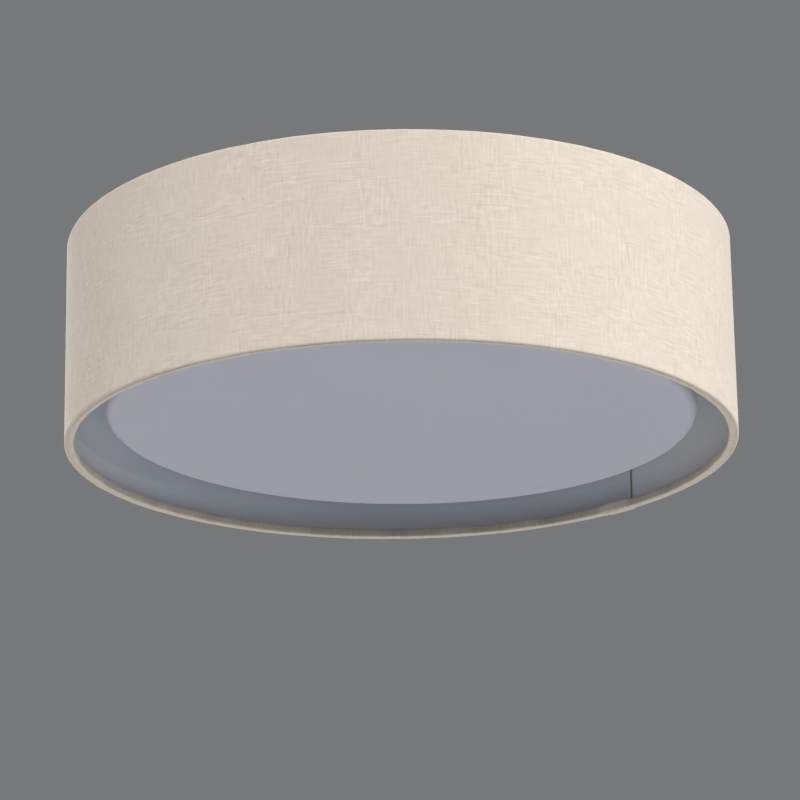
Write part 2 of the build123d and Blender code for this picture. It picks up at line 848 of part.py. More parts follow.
def supply_lead(pole_x, inset, name):
    # From a pole of the block, along the pan's floor, to the driver. inset keeps the two leads side by side.
    start_y = block_centre_y - clamp_depth / 2 - clamp_fit
    driver_x = -driver_board_length / 2
    end_y = driver_centre_y + lead_spacing / 2 - inset
    left = lead_run_x + inset
    points = [
        (pole_x, start_y, block_wire_z),
        (pole_x, start_y - lead_exit + inset, block_wire_z),
        (pole_x - lead_side_step, start_y - lead_side_drop + inset, lead_floor_z + lead_radius),
        (lead_low_x, start_y - lead_low_drop + inset, lead_floor_z),
        (left + lead_corner_step, start_y - lead_corner_drop + inset, lead_floor_z),
        (left, lead_run_start_y, lead_floor_z),
        (left, lead_run_end_y, lead_floor_z),
        (left + lead_rise_step, lead_rise_y - inset, lead_floor_z + lead_rise),
        (left + lead_entry_step - inset / 2, end_y, driver_wire_z),
        (driver_x, end_y, driver_wire_z),
    ]
    return wire_along(points, lead_radius, name)


def earth_lead():
    start_y = block_centre_y - clamp_depth / 2 - clamp_fit
    barrel_end = earth_y - ring_terminal_radius - 1.0 - ring_barrel_length + 0.4
    barrel_z = pan_floor + ring_barrel_radius
    pole_x = block_pole_xs()[-1]
    points = [
        (pole_x, start_y, block_wire_z),
        (pole_x, start_y - earth_lead_exit, block_wire_z),
        (pole_x + earth_lead_step, start_y - earth_lead_drop, (block_wire_z + barrel_z) / 2),
        (pole_x + earth_lead_low_step, start_y - earth_lead_low_drop, barrel_z + lead_radius),
        (earth_x - lead_radius, barrel_end - earth_lead_entry - earth_lead_exit, barrel_z),
        (earth_x, barrel_end - earth_lead_entry, barrel_z),
        (earth_x, barrel_end, barrel_z),
    ]
    return wire_along(points, lead_radius, "earth lead")


def feed_lead(side, name):
    # From the driver, down through the grommet and along to the first bar's socket
    offset = side * link_wire_spacing / 2
    socket_y = bar_rows[0][0] - bar_width / 2
    drop_y = grommet_y - feed_drop_setback
    points = [
        (driver_board_length / 2, driver_centre_y + offset, driver_wire_z),
        (feed_x + offset, driver_centre_y + offset, driver_wire_z),
        (feed_x + offset, drop_y, driver_wire_z),
        (feed_x + offset, drop_y, link_wire_z),
        (feed_x + offset, socket_y, link_wire_z),
    ]
    return wire_along(points, link_wire_radius, name)


def lead_clip(y):
    # A saddle over the two supply leads
    mid_x = lead_run_x + lead_spacing / 2
    half = lead_spacing / 2 + lead_radius + lead_clip_fit
    roof = lead_floor_z + lead_radius + lead_clip_fit
    ys = (y - lead_clip_width / 2, y + lead_clip_width / 2)
    outer_xs = (mid_x - half - lead_clip_wall, mid_x + half + lead_clip_wall)
    saddle = box(outer_xs, ys, (pan_floor, roof + lead_clip_wall))
    saddle -= box((mid_x - half, mid_x + half), ys, (pan_floor, roof))
    foot = box(
        (mid_x + half + lead_clip_wall, mid_x + half + lead_clip_wall + lead_clip_foot),
        ys,
        (pan_floor, pan_floor + lead_clip_wall),
    )
    return saddle + foot


def save(name, shapes):
    solids = shapes if isinstance(shapes, list) else [shapes]
    parts = [solid for shape in solids for solid in shape.solids()]
    export_step(parts[0] if len(parts) == 1 else Compound(parts), f"parts/{name}.step")


def build_all():
    os.makedirs("parts", exist_ok=True)
    save("shade_fabric", shade_fabric())
    save("shade_liner", shade_liner())
    save("shade_top_ring", hem_ring(top_ring_z))
    save("shade_bottom_ring", hem_ring(bottom_ring_z))
    for number, angle in enumerate(lug_angles, 1):
        save(f"shade_lug_{number}", round_about(shade_lug(), angle))
        save(f"thumb_screw_{number}", round_about(thumb_screw(), angle))
        save(f"thumb_washer_{number}", round_about(thumb_washer(), angle))
        save(f"shade_bracket_{number}", round_about(shade_bracket(), angle))
    save("bracket_bushes", [round_about(bracket_bush(), angle) for angle in lug_angles])
    save("ceiling_pan", pan())
    save("diffuser", diffuser())
    for number, angle in enumerate(clip_angles, 1):
        save(f"diffuser_clip_{number}", round_about(diffuser_clip(), angle))
    save("clip_rivets", [round_about(clip_rivet(), angle) for angle in clip_angles])
    stud_xs = (-stud_spacing / 2, stud_spacing / 2)
    save("mounting_strap", mounting_strap())
    save("strap_studs", [strap_stud(x) for x in stud_xs])
    save("strap_lock_nuts", [lock_nut(x) for x in stud_xs])
    save("pan_cap_nuts", [cap_nut(x) for x in stud_xs])
    save("ground_screw", ground_screw())
    for number, (y, length) in enumerate(bar_rows, 1):
        save(f"light_bar_{number}", light_bar(y, length))
    save("light_chips", light_chips())
    save("light_bar_screws", [pan_screw(x, y, bar_face, 1) for x, y in pan_screw_places()])
    save("light_bar_sockets", connectors())
    save("light_bar_links", link_wires())
    save("feed_grommet", grommet())
    save("driver_base", driver_base())
    save("driver_cover", driver_cover())
    save("driver_board", driver_board())
    save("driver_transformer", driver_transformer())
    save("driver_capacitors", driver_capacitors())
    save("driver_wire_blocks", driver_blocks())
    save("driver_screws", [pan_screw(x, y, driver_base_top, -1) for x, y in driver_screw_places()])
    save("terminal_block", terminal_block())
    save("terminal_clamps", terminal_clamps())
    save("terminal_screws", terminal_screws())
    save("terminal_block_screws", [pan_screw(x, y, block_screw_seat(), -1) for x, y in block_screw_places()])
    save("earth_stud", earth_stud())
    save("earth_nut", earth_nut())
    save("earth_ring_terminal", ring_terminal())
    save("earth_lead", earth_lead())
    poles = block_pole_xs()
    save("live_lead", supply_lead(poles[0], lead_spacing, "live lead"))
    save("neutral_lead", supply_lead(poles[1], 0.0, "neutral lead"))
    save("feed_lead_positive", feed_lead(1, "positive feed lead"))
    save("feed_lead_negative", feed_lead(-1, "negative feed lead"))
    save("lead_clips", [lead_clip(y) for y in lead_clip_y])


build_all()
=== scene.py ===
import random
from math import atan2, cos, degrees, dist, pi, radians, sin, sqrt

import bmesh
import bpy
from mathutils import Matrix, Vector


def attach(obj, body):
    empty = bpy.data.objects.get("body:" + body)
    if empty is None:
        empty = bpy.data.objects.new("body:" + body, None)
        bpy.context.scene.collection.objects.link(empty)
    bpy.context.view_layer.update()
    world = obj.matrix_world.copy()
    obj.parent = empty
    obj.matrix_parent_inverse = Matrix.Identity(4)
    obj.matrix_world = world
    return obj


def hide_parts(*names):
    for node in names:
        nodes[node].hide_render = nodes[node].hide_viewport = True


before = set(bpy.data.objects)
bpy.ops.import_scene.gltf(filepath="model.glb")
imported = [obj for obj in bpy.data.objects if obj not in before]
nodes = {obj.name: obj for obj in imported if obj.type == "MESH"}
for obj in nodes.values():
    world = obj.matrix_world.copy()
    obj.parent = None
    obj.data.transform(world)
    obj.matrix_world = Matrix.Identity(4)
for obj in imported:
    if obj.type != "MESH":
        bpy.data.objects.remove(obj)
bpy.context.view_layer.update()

scene = bpy.context.scene
scene.view_settings.view_transform = "Standard"
mm = 0.001

# Where the camera stood, and how it was turned. The frame is square.
camera = {
    "place": (0.0, -2.0612, -0.7657),
    "yaw": -0.00025,
    "pitch": 0.3137,
    "roll": -0.01553,
    "lens": 160.6,
    "sensor": 36.0,
    "clip": (0.05, 200),
}


def linked(name, data):
    holder = bpy.data.objects.new(name, data)
    scene.collection.objects.link(holder)
    return holder


def setCamera():
    yaw, pitch, roll = camera["yaw"], camera["pitch"], camera["roll"]
    ahead = Vector((sin(yaw) * cos(pitch), cos(yaw) * cos(pitch), sin(pitch)))
    right = Vector((cos(yaw), -sin(yaw), 0))
    up = right.cross(ahead)
    side = right * cos(roll) + up * sin(roll)
    top = up * cos(roll) - right * sin(roll)
    data = bpy.data.cameras.new("photoCamera")
    data.lens, data.sensor_width = camera["lens"], camera["sensor"]
    data.clip_start, data.clip_end = camera["clip"]
    turn = Matrix((side, top, -ahead)).transposed().to_4x4()
    scene.camera = linked("photoCamera", data)
    scene.camera.matrix_world = Matrix.Translation(camera["place"]) @ turn


setCamera()
print("camera set")


# An operator that adds its Math node, and its reflected form
def sums(operation):
    def forward(self, other):
        return self.recipe.maths(operation, self, other)

    def reflected(self, other):
        return self.recipe.maths(operation, other, self)

    return forward, reflected


# A socket that can be reckoned with
class Signal:
    def __init__(self, recipe, socket):
        self.recipe, self.socket = recipe, socket

    __add__, __radd__ = sums("ADD")
    __sub__, __rsub__ = sums("SUBTRACT")
    __mul__, __rmul__ = sums("MULTIPLY")
    __truediv__, __rtruediv__ = sums("DIVIDE")

    def out(self, name):
        return Signal(self.recipe, self.socket.node.outputs[name])

    def eased(self, low, high):
        span = {"Value": self, "From Min": low, "From Max": high}
        return self.recipe.add("ShaderNodeMapRange", {"interpolation_type": "SMOOTHSTEP"}, span)


# A node tree being written. Settings go in before the sockets get their values.
class Recipe:
    def __init__(self, tree):
        self.tree = tree

    def add(self, kind, settings=None, values=None, out=0):
        node = self.tree.nodes.new(kind)
        for key, value in (settings or {}).items():
            setattr(node, key, value)
        self.fill(node, values or {})
        return Signal(self, node.outputs[out]) if node.outputs else node

    def fill(self, node, values):
        for key, value in values.items():
            if isinstance(value, Signal):
                self.tree.links.new(value.socket, node.inputs[key])
            elif value is not None:
                node.inputs[key].default_value = value

    def maths(self, operation, *values):
        return self.add("ShaderNodeMath", {"operation": operation}, dict(enumerate(values)))

    def blend(self, amount, first, second):
        first, second = ((*c, 1) if isinstance(c, tuple) else c for c in (first, second))
        return self.add("ShaderNodeMix", {"data_type": "RGBA"}, {0: amount, 6: first, 7: second}, 2)

    def stretched(self, place, factors):
        return self.add("ShaderNodeVectorMath", {"operation": "MULTIPLY"}, {0: place, 1: factors})

    def moved(self, place, offset):
        return self.add("ShaderNodeVectorMath", {"operation": "ADD"}, {0: place, 1: offset})

    def noise(self, place, scale, detail=2.0, roughness=0.5):
        values = {"Vector": place, "Scale": scale, "Detail": detail, "Roughness": roughness}
        return self.add("ShaderNodeTexNoise", None, values)

    # Dots at chance places: 1 within the first distance of a cell's middle, and 0 beyond the second
    def dots(self, place, scale, near, far):
        cells = self.add("ShaderNodeTexVoronoi", None, {"Vector": place, "Scale": scale})
        return 1 - cells.out("Distance").eased(near, far)

    def carried(self, label, kind):
        return self.add("GeometryNodeInputNamedAttribute", {"data_type": kind}, {"Name": label})

    def bump(self, height, distance, under=None):
        return self.add("ShaderNodeBump", None, {"Height": height, "Distance": distance, "Normal": under})


# A material being written, from its coordinates to the sockets of its one shader
class Finish(Recipe):
    def __init__(self, name):
        self.material = bpy.data.materials.new(name)
        self.material.use_nodes = True
        super().__init__(self.material.node_tree)

    def own(self):
        return self.add("ShaderNodeTexCoord", None, None, "Object")

    def cloth(self):
        return self.add("ShaderNodeUVMap", {"uv_map": "UVMap"})

    def attribute(self, label):
        return self.add("ShaderNodeAttribute", {"attribute_name": label}, None, "Fac")

    def wear(self, sockets):
        self.fill(self.tree.nodes["Principled BSDF"], sockets)
        return self.material


# Threads are counted along and across them, per metre. The tone goes from 0, pale, to 1, deep.
linen = {
    "pale": (0.860, 0.766, 0.668),
    "deep": (0.640, 0.554, 0.466),
    "fleck": (0.215, 0.150, 0.095),
    # the colour of glue and of painted shade where the cloth turns in
    "glueAndShade": (0.360, 0.322, 0.255),
    "fine": (70, 1650),
    "yarn": (95, 600),
    "patch": (16, 44),
    "slub": (52, 600),
    "thin": (58, 600),
    "wander": 0.0016,
    "threadRelief": 0.00008,
    "slubRelief": 0.00007,
    "tone": {
        "base": 0.40, "yarn": 0.74, "fine": 0.36, "slub": 0.20, "hollow": 0.18, "cloud": 0.26, "speck": 0.30,
    },
    "roughness": 0.94,
}


def linenFinish():
    f = Finish("linenWeave")
    place = f.cloth()
    tone = linen["tone"]
    drift = f.noise(place, 9.0, 1.0)
    amount = (linen["wander"], linen["wander"], 0)
    wander = f.stretched(f.add("ShaderNodeCombineXYZ", None, {0: drift - 0.5, 1: drift - 0.5}), amount)
    laid = f.moved(place, wander)

    def threads(kind, offset, detail=1.0):
        # the weft's threads run along the cloth, and the warp's up it
        along, across = linen[kind]
        there = f.moved(laid, offset)
        weft = f.noise(f.stretched(there, (along, across, 0)), 1.0, detail, 0.6)
        warp = f.noise(f.stretched(f.moved(there, (3.1, 1.7, 0)), (across, along, 0)), 1.0, detail, 0.6)
        return weft, warp

    fineWeft, fineWarp = threads("fine", (0, 0, 0))
    yarnWeft, yarnWarp = threads("yarn", (4.3, 8.9, 0), 1.5)
    # slubs are thicker, paler lengths of yarn, hollows are thin ones, and both come in patches
    patchWeft, patchWarp = (p.eased(0.40, 0.62) for p in threads("patch", (2.2, 6.4, 0), 2.0))
    slubWeft, slubWarp = (p.eased(0.55, 0.74) for p in threads("slub", (1.3, 4.1, 0), 1.5))
    thinWeft, thinWarp = (p.eased(0.56, 0.76) for p in threads("thin", (8.3, 6.1, 0)))
    slubs = slubWeft * (0.25 + 0.75 * patchWeft) + slubWarp * (0.25 + 0.75 * patchWarp)
    hollows = thinWeft * (0.3 + 0.7 * patchWeft) + thinWarp * (0.3 + 0.7 * patchWarp)
    plaid = (yarnWeft - 0.5) * (0.45 + patchWeft) + (yarnWarp - 0.5) * (0.45 + patchWarp)
    # cloudy changes of the yarn's colour, small specks, and husk flecks
    clouds = f.noise(place, 26.0, 3.0)
    specks = f.dots(f.moved(laid, (7.7, 3.3, 0)), 210.0, 0.05, 0.16)
    specks = specks * f.noise(place, 55.0, 1.0).eased(0.5, 0.7)
    husks = f.dots(f.stretched(f.moved(laid, (0.37, 0.11, 0)), (1, 1.5, 1)), 62.0, 0.018, 0.060)
    husks = husks * f.noise(f.stretched(place, (31, 29, 0)), 1.0, 0.0).eased(0.60, 0.68)
    shadeOfYarn = (
        tone["base"]
        + tone["yarn"] * plaid
        + tone["fine"] * (fineWeft + fineWarp - 1.0)
        - tone["slub"] * slubs
        + tone["hollow"] * hollows
        + tone["cloud"] * (clouds - 0.5)
        + tone["speck"] * specks
    )
    colour = f.blend(husks * 0.75, f.blend(shadeOfYarn, linen["pale"], linen["deep"]), linen["fleck"])
    # glue darkens the cloth where it turns in, and the same mark paints shade on the turned-in cloth and in
    # the groove by the rim
    uneven = 0.70 + 0.5 * (clouds - 0.5) + 0.5 * (yarnWarp - 0.5)
    colour = f.blend(f.attribute("glueAndShade") * uneven, colour, linen["glueAndShade"])
    fine = f.bump(0.5 * fineWeft + 0.45 * fineWarp, linen["threadRelief"])
    return f.wear({
        "Base Color": colour,
        "Roughness": linen["roughness"] - 0.06 * slubs,
        "Normal": f.bump(slubs - hollows * 0.5 - plaid * 0.8, linen["slubRelief"], fine),
        "Specular IOR Level": 0.12,
        "Sheen Weight": 0.04,
        "Sheen Roughness": 0.5,
    })


def toned(colour, factor):
    return tuple(min(1.0, c * factor) for c in colour)


# A moulded or cast plastic: a faint cloudiness, a fine grain, and shinier rubbed patches
def plasticFinish(name, colour, roughness=0.42, grain=2600, relief=0.00002, cloud=0.06, level=0.5):
    f = Finish(name)
    place = f.own()
    clouds = f.noise(place, 38.0, 3.0)
    grainy = f.noise(place, grain, 2.0)
    darker, lighter = toned(colour, 1 - 2.2 * cloud), toned(colour, 1 + cloud)
    rubbed = f.noise(place, 90.0, 2.0).eased(0.45, 0.72)
    return f.wear({
        "Base Color": f.blend(0.5 + 1.4 * (clouds - 0.5) + 0.25 * (grainy - 0.5), darker, lighter),
        "Roughness": roughness - 0.10 * rubbed + 0.06 * (grainy - 0.5),
        "Normal": f.bump(grainy, relief),
        "Specular IOR Level": level,
    })


# Powder coat or enamel on steel: orange peel, dust in it, and a shade that drifts
def paintFinish(name, colour, roughness=0.46, peel=520):
    f = Finish(name)
    place = f.own()
    rippled = f.noise(place, peel, 2.0)
    drift = f.noise(place, 14.0, 3.0)
    tone = f.blend(0.5 + 1.5 * (drift - 0.5), toned(colour, 0.90), toned(colour, 1.03))
    return f.wear({
        "Base Color": f.blend(f.dots(place, 480.0, 0.03, 0.09) * 0.28, tone, toned(colour, 0.55)),
        "Roughness": roughness + 0.22 * (drift - 0.5) + 0.06 * (rippled - 0.5),
        "Normal": f.bump(rippled, 0.00003),
    })


# Bare or plated metal: drawn or turned lines one way, and a plating that is uneven
def metalFinish(name, colour, roughness=0.30, lines=(60, 2400, 60), dull=None, relief=0.000008):
    f = Finish(name)
    place = f.own()
    drawn = f.noise(f.stretched(place, lines), 1.0, 3.0)
    blotch = f.noise(place, 120.0, 3.0)
    stain = f.noise(f.moved(place, (0.3, 0.1, 0.7)), 46.0, 4.0).eased(0.50, 0.78)
    return f.wear({
        "Base Color": f.blend(stain * 0.55 + 0.30 * (drawn - 0.5), colour, dull or toned(colour, 0.62)),
        "Metallic": 1.0 - 0.12 * stain,
        "Roughness": roughness + 0.22 * (drawn - 0.5) + 0.20 * (blotch - 0.5) + 0.10 * stain,
        "Normal": f.bump(drawn, relief),
    })


# Insulated wire: slightly glossy, with the fine lines of its extrusion
def wireFinish(name, colour):
    f = Finish(name)
    place = f.own()
    drawn = f.noise(place, 900.0, 2.0)
    rubbed = f.noise(place, 140.0, 2.0)
    return f.wear({
        "Base Color": f.blend(0.5 + 0.9 * (rubbed - 0.5), toned(colour, 0.82), toned(colour, 1.10)),
        "Roughness": 0.36 + 0.24 * (rubbed - 0.5),
        "Normal": f.bump(drawn, 0.00002),
    })


# Milky plastic that the light goes a little way into
opal = {
    "milk": (0.604, 0.616, 0.702),
    "thin": (0.578, 0.594, 0.684),
    "mote": (0.42, 0.41, 0.42),
    "roughness": 0.40,
    "relief": 0.0006,
    "scatter": 0.5,
    "depth": 0.006,
}


def opalFinish():
    f = Finish("opalAcrylic")
    place = f.own()
    slow = f.noise(place, 7.0, 2.0)
    haze = f.noise(place, 48.0, 3.0)
    soft = f.noise(place, 900.0, 1.0)
    motes = f.dots(place, 130.0, 0.010, 0.034) * f.noise(place, 23.0, 0.0).eased(0.62, 0.70)
    tone = f.blend(0.5 + 1.1 * (slow - 0.5) + 0.35 * (haze - 0.5), opal["milk"], opal["thin"])
    return f.wear({
        "Base Color": f.blend(motes * 0.30, tone, opal["mote"]),
        "Roughness": opal["roughness"] + 0.16 * (haze - 0.5),
        "Normal": f.bump(slow + haze * 0.10 + soft * 0.02, opal["relief"]),
        "Specular IOR Level": 0.42,
        "Subsurface Weight": opal["scatter"],
        "Subsurface Scale": opal["depth"],
        "Subsurface Radius": (1.0, 1.0, 1.0),
    })


# The film's attributes: one is painted warm light, by angle round the drum, for light through the linen; cut
# is
# 1 on its cut edges; and one is 1 under its lap, where brown glue and painted shadow in the lap's gap darken
# it.
# A darker band near the hem is painted shade.
styrene = {
    "cool": (0.820, 0.875, 0.955),
    "paintedWarmLight": (0.970, 0.950, 0.890),
    "cut": (0.93, 0.89, 0.80),
    # the colour of glue and of painted shadow in the lap's gap
    "glue": (0.400, 0.330, 0.260),
    "scuff": (0.50, 0.50, 0.50),
    # the colour of the painted shade near the hem
    "hem": (0.36, 0.34, 0.35),
    "hemShadeHeights": (-0.1235, -0.1060),
    "hemShadeDepth": 0.72,
    "hemShadeLessWhereWarm": 0.50,
}


def linerFinish():
    f = Finish("styreneLiner")
    place = f.cloth()
    slow = f.noise(f.stretched(place, (16, 5, 0)), 1.0, 2.0)
    glue = f.noise(f.stretched(place, (70, 52, 0)), 1.0, 3.0)
    scuff = f.noise(f.stretched(place, (10, 700, 0)), 1.0, 2.0).eased(0.58, 0.80)
    paintedWarmLight = f.attribute("paintedWarmLight")
    # painted warm light, for light through the linen, lightens and warms the film by angle
    film = f.blend(paintedWarmLight, styrene["cool"], styrene["paintedWarmLight"])
    film = f.blend((0.5 + 0.8 * (slow - 0.5)) * 0.35, film, toned(styrene["cool"], 0.86))
    tone = f.blend(f.attribute("cut"), film, styrene["cut"])
    # under the lap: brown glue and painted shadow of the gap between the lap and the film below
    tone = f.blend(f.attribute("glueAndGapShade") * (0.85 + 0.5 * (glue - 0.5)), tone, styrene["glue"])
    tone = f.blend(scuff * 0.08 + 0.10 * (glue - 0.5), tone, styrene["scuff"])
    height = f.add("ShaderNodeSeparateXYZ", None, {0: place}, "Y")
    # painted shade in a band above the hem, weaker where painted warm light falls
    band = (1 - height.eased(*styrene["hemShadeHeights"])) * (styrene["hemShadeDepth"] - styrene["hemShadeLessWhereWarm"] * paintedWarmLight)
    return f.wear({
        "Base Color": f.blend(band, tone, styrene["hem"]),
        "Roughness": 0.46 + 0.18 * (glue - 0.5) + 0.08 * scuff,
        "Normal": f.bump(glue * 0.25 + slow, 0.0010),
        "Specular IOR Level": 0.40,
    })


# The circuit board: solder mask with copper tracks showing through as paler lines
def boardFinish(name, colour, track):
    f = Finish(name)
    place = f.own()
    lanes = f.add("ShaderNodeTexVoronoi", {"distance": "CHEBYCHEV"}, {"Vector": place, "Scale": 260.0})
    lines = f.add("ShaderNodeTexVoronoi", {"distance": "MANHATTAN"}, {"Vector": place, "Scale": 120.0})
    edge = f.maths("MODULO", f.maths("ABSOLUTE", lanes) * 6.0, 1.0).eased(0.40, 0.55) * lines.eased(0.3, 0.5)
    dusty = f.noise(place, 60.0, 3.0)
    return f.wear({
        "Base Color": f.blend(0.35 * dusty, f.blend(edge, colour, track), toned(colour, 0.7)),
        "Roughness": 0.34 + 0.22 * (dusty - 0.5),
        "Normal": f.bump(edge, 0.00004),
    })


# The chips' yellow windows: grains of phosphor in clear resin
def phosphorFinish():
    f = Finish("phosphorDome")
    place = f.own()
    grains = f.noise(place, 5200.0, 2.0)
    return f.wear({
        "Base Color": f.blend(0.5 + 1.2 * (grains - 0.5), (0.80, 0.58, 0.10), (0.90, 0.74, 0.24)),
        "Roughness": 0.30 + 0.25 * (grains - 0.5),
        "Normal": f.bump(grains, 0.00003),
    })


finishes = {
    "linen": linenFinish(),
    "styrene_liner": linerFinish(),
    "ring_wire": paintFinish("ringEnamel", (0.80, 0.80, 0.79), 0.40, 900),
    "nickel_screw": metalFinish("brushedNickel", (0.66, 0.64, 0.60), 0.26, (900, 900, 60)),
    "washer_nylon": plasticFinish("washerNylon", (0.78, 0.76, 0.70), 0.45),
    "white_paint": paintFinish("panEnamel", (0.83, 0.83, 0.82)),
    "brass_bush": metalFinish("turnedBrass", (0.80, 0.60, 0.28), 0.28, (700, 700, 60)),
    "opal_acrylic": opalFinish(),
    "spring_steel": metalFinish("springSteel", (0.52, 0.51, 0.50), 0.30, (50, 50, 1900)),
    "rivet_aluminium": metalFinish("rivetAluminium", (0.80, 0.80, 0.81), 0.34, (500, 500, 500)),
    "zinc_steel": metalFinish("zincPlate", (0.64, 0.65, 0.67), 0.36, (90, 900, 90), (0.44, 0.45, 0.46)),
    "nickel_nut": metalFinish("capNickel", (0.70, 0.68, 0.64), 0.22, (800, 800, 60)),
    "ground_green": paintFinish("groundGreen", (0.05, 0.30, 0.10), 0.34, 900),
    "bar_board": paintFinish("barSolderMask", (0.84, 0.84, 0.82), 0.38, 1200),
    "phosphor": plasticFinish("chipHousing", (0.84, 0.84, 0.80), 0.30, 5000),
    "socket_nylon": plasticFinish("socketNylon", (0.80, 0.79, 0.74), 0.40, 3400),
    "link_wire": wireFinish("linkWire", (0.74, 0.74, 0.72)),
    "grommet_rubber": plasticFinish("grommetRubber", (0.035, 0.035, 0.037), 0.62, 1800, 0.00004, 0.2, 0.35),
    "driver_plastic": plasticFinish("driverHousing", (0.74, 0.74, 0.72), 0.50, 1500, 0.00005),
    "board_green": boardFinish("driverBoard", (0.035, 0.155, 0.060), (0.10, 0.30, 0.12)),
    "transformer_tape": plasticFinish("windingTape", (0.72, 0.55, 0.12), 0.34, 900, 0.00005, 0.10),
    "capacitor_black": plasticFinish("capacitorSleeve", (0.030, 0.032, 0.040), 0.28, 1400, 0.00002, 0.2),
    "block_nylon": plasticFinish("blockNylon", (0.70, 0.69, 0.64), 0.46, 2000, 0.00003),
    "clamp_brass": metalFinish("clampBrass", (0.76, 0.58, 0.29), 0.34, (90, 1200, 90)),
    "earth_terminal": metalFinish("tinnedTerminal", (0.74, 0.73, 0.70), 0.32, (400, 400, 400)),
    "wire_earth": wireFinish("wireEarth", (0.06, 0.28, 0.08)),
    "wire_live": wireFinish("wireLive", (0.035, 0.033, 0.033)),
    "wire_neutral": wireFinish("wireNeutral", (0.78, 0.78, 0.76)),
    "wire_positive": wireFinish("wirePositive", (0.46, 0.030, 0.025)),
    "clip_nylon": plasticFinish("saddleNylon", (0.76, 0.75, 0.71), 0.42, 2600),
}
print("finishes:", len(finishes))

for node in nodes.values():
    slotName = node.data.materials[0].name.split(".")[0]
    node.data.materials.clear()
    node.data.materials.append(finishes[slotName])
print("CAD nodes dressed:", len(nodes))


def mark(mesh, label, values, kind="FLOAT", field="value"):
    mesh.attributes.new(label, kind, "POINT").data.foreach_set(field, values)


# A sheet's mesh has its flat layout too, and what is marked on its points
def meshObject(name, points, faces, finish, smoothBelow=35, uvs=None, marks=None):
    mesh = bpy.data.meshes.new(name)
    mesh.from_pydata(points, [], faces)
    if uvs:
        mesh.uv_layers.new(name="UVMap").data.foreach_set("uv", uvs)
    for label, values in (marks or {}).items():
        mark(mesh, label, values)
    mesh.update()
    return settle(name, mesh, finish, smoothBelow)


# Shaded smooth wherever faces meet below an angle in degrees
def settle(name, mesh, finish, smoothBelow=35):
    mesh.name = name
    mesh.shade_smooth()
    mesh.set_sharp_from_angle(angle=radians(smoothBelow))
    mesh.materials.clear()
    mesh.materials.append(finish)
    return linked(name, mesh)


# Joins points that fall together at seams and poles, then turns the faces outwards
def closeUp(mesh, distance=0.000002):
    work = bmesh.new()
    work.from_mesh(mesh)
    bmesh.ops.remove_doubles(work, verts=work.verts, dist=distance)
    bmesh.ops.dissolve_degenerate(work, edges=work.edges, dist=distance / 4)
    bmesh.ops.recalc_face_normals(work, faces=work.faces)
    work.to_mesh(mesh)
    work.free()
    return mesh


# What a piece stands for, and the body that it rides on
def standFor(piece, node, body):
    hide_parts(node)
    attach(piece, body)


# A Geometry Nodes tree, written by a function that gets the tree's recipe and its inputs
def newTree(name, inputs, write):
    tree = bpy.data.node_groups.new(name, "GeometryNodeTree")
    for label, kind in {"Geometry": "Geometry", **inputs, "Finish": "Material"}.items():
        tree.interface.new_socket(label, in_out="INPUT", socket_type="NodeSocket" + kind)
    tree.interface.new_socket("Geometry", in_out="OUTPUT", socket_type="NodeSocketGeometry")
    recipe = Recipe(tree)
    given = recipe.add("NodeGroupInput")
    made = write(recipe, given)
    real = recipe.add("GeometryNodeRealizeInstances", None, {"Geometry": made})
    paint = {"Geometry": real, "Material": given.out("Finish")}
    recipe.add("NodeGroupOutput", None, {0: recipe.add("GeometryNodeSetMaterial", None, paint)})
    return tree


def grow(name, tree, base, values, finish, smoothBelow=35):
    holder = linked(name + "Maker", base)
    modifier = holder.modifiers.new("grow", "NODES")
    modifier.node_group = tree
    sockets = {s.name: s.identifier for s in tree.interface.items_tree if s.in_out == "INPUT"}
    for label, value in {**values, "Finish": finish}.items():
        modifier[sockets[label]] = value
    graph = bpy.context.evaluated_depsgraph_get()
    mesh = bpy.data.meshes.new_from_object(holder.evaluated_get(graph), depsgraph=graph)
    bpy.data.objects.remove(holder)
    return settle(name, closeUp(mesh), finish, smoothBelow)


# Turning: the base mesh is a profile, a row of points (radius, 0, height) that carry knurl and thread
def writeTurning(r, given):
    profile, steps = given.out("Geometry"), given.out("Steps")
    count = r.add("GeometryNodeAttributeDomainSize", {"component": "MESH"}, {"Geometry": profile})
    grid = r.add("GeometryNodeMeshGrid", None, {"Vertices X": steps + 1, "Vertices Y": count})
    index = r.add("GeometryNodeInputIndex")
    column, row = r.maths("FLOOR", index / count), r.maths("MODULO", index, count)
    angle = column * (2 * pi) / steps

    def sample(kind, what):
        values = {"Geometry": profile, "Value": what, "Index": row}
        return r.add("GeometryNodeSampleIndex", {"data_type": kind}, values)

    position = sample("FLOAT_VECTOR", r.add("GeometryNodeInputPosition"))
    spot = r.add("ShaderNodeSeparateXYZ", None, {0: position})

    # each rib and each turn of the thread is a wave that cuts into the radius, as deep as its depth
    def cut(phase, label, depth):
        wave = r.maths("COSINE", phase) * 0.5 + 0.5
        return wave * sample("FLOAT", r.carried(label, "FLOAT")) * given.out(depth)

    height = spot.out("Z")
    radius = spot.out("X") - cut(angle * given.out("Ribs"), "knurl", "Rib depth")
    radius = radius - cut(height / given.out("Pitch") * (2 * pi) - angle, "thread", "Thread depth")
    across, back = radius * r.maths("COSINE", angle), radius * r.maths("SINE", angle)
    place = r.add("ShaderNodeCombineXYZ", None, {0: across, 1: back, 2: height})
    bent = r.add("GeometryNodeSetPosition", None, {"Geometry": grid, "Position": place})
    return r.add("GeometryNodeTransform", None, {"Geometry": bent, "Translation": given.out("Stand")})


depths = {"Rib depth": "Float", "Pitch": "Float", "Thread depth": "Float", "Stand": "Vector"}
turning = newTree("turnedPiece", {"Steps": "Int", "Ribs": "Int", **depths}, writeTurning)


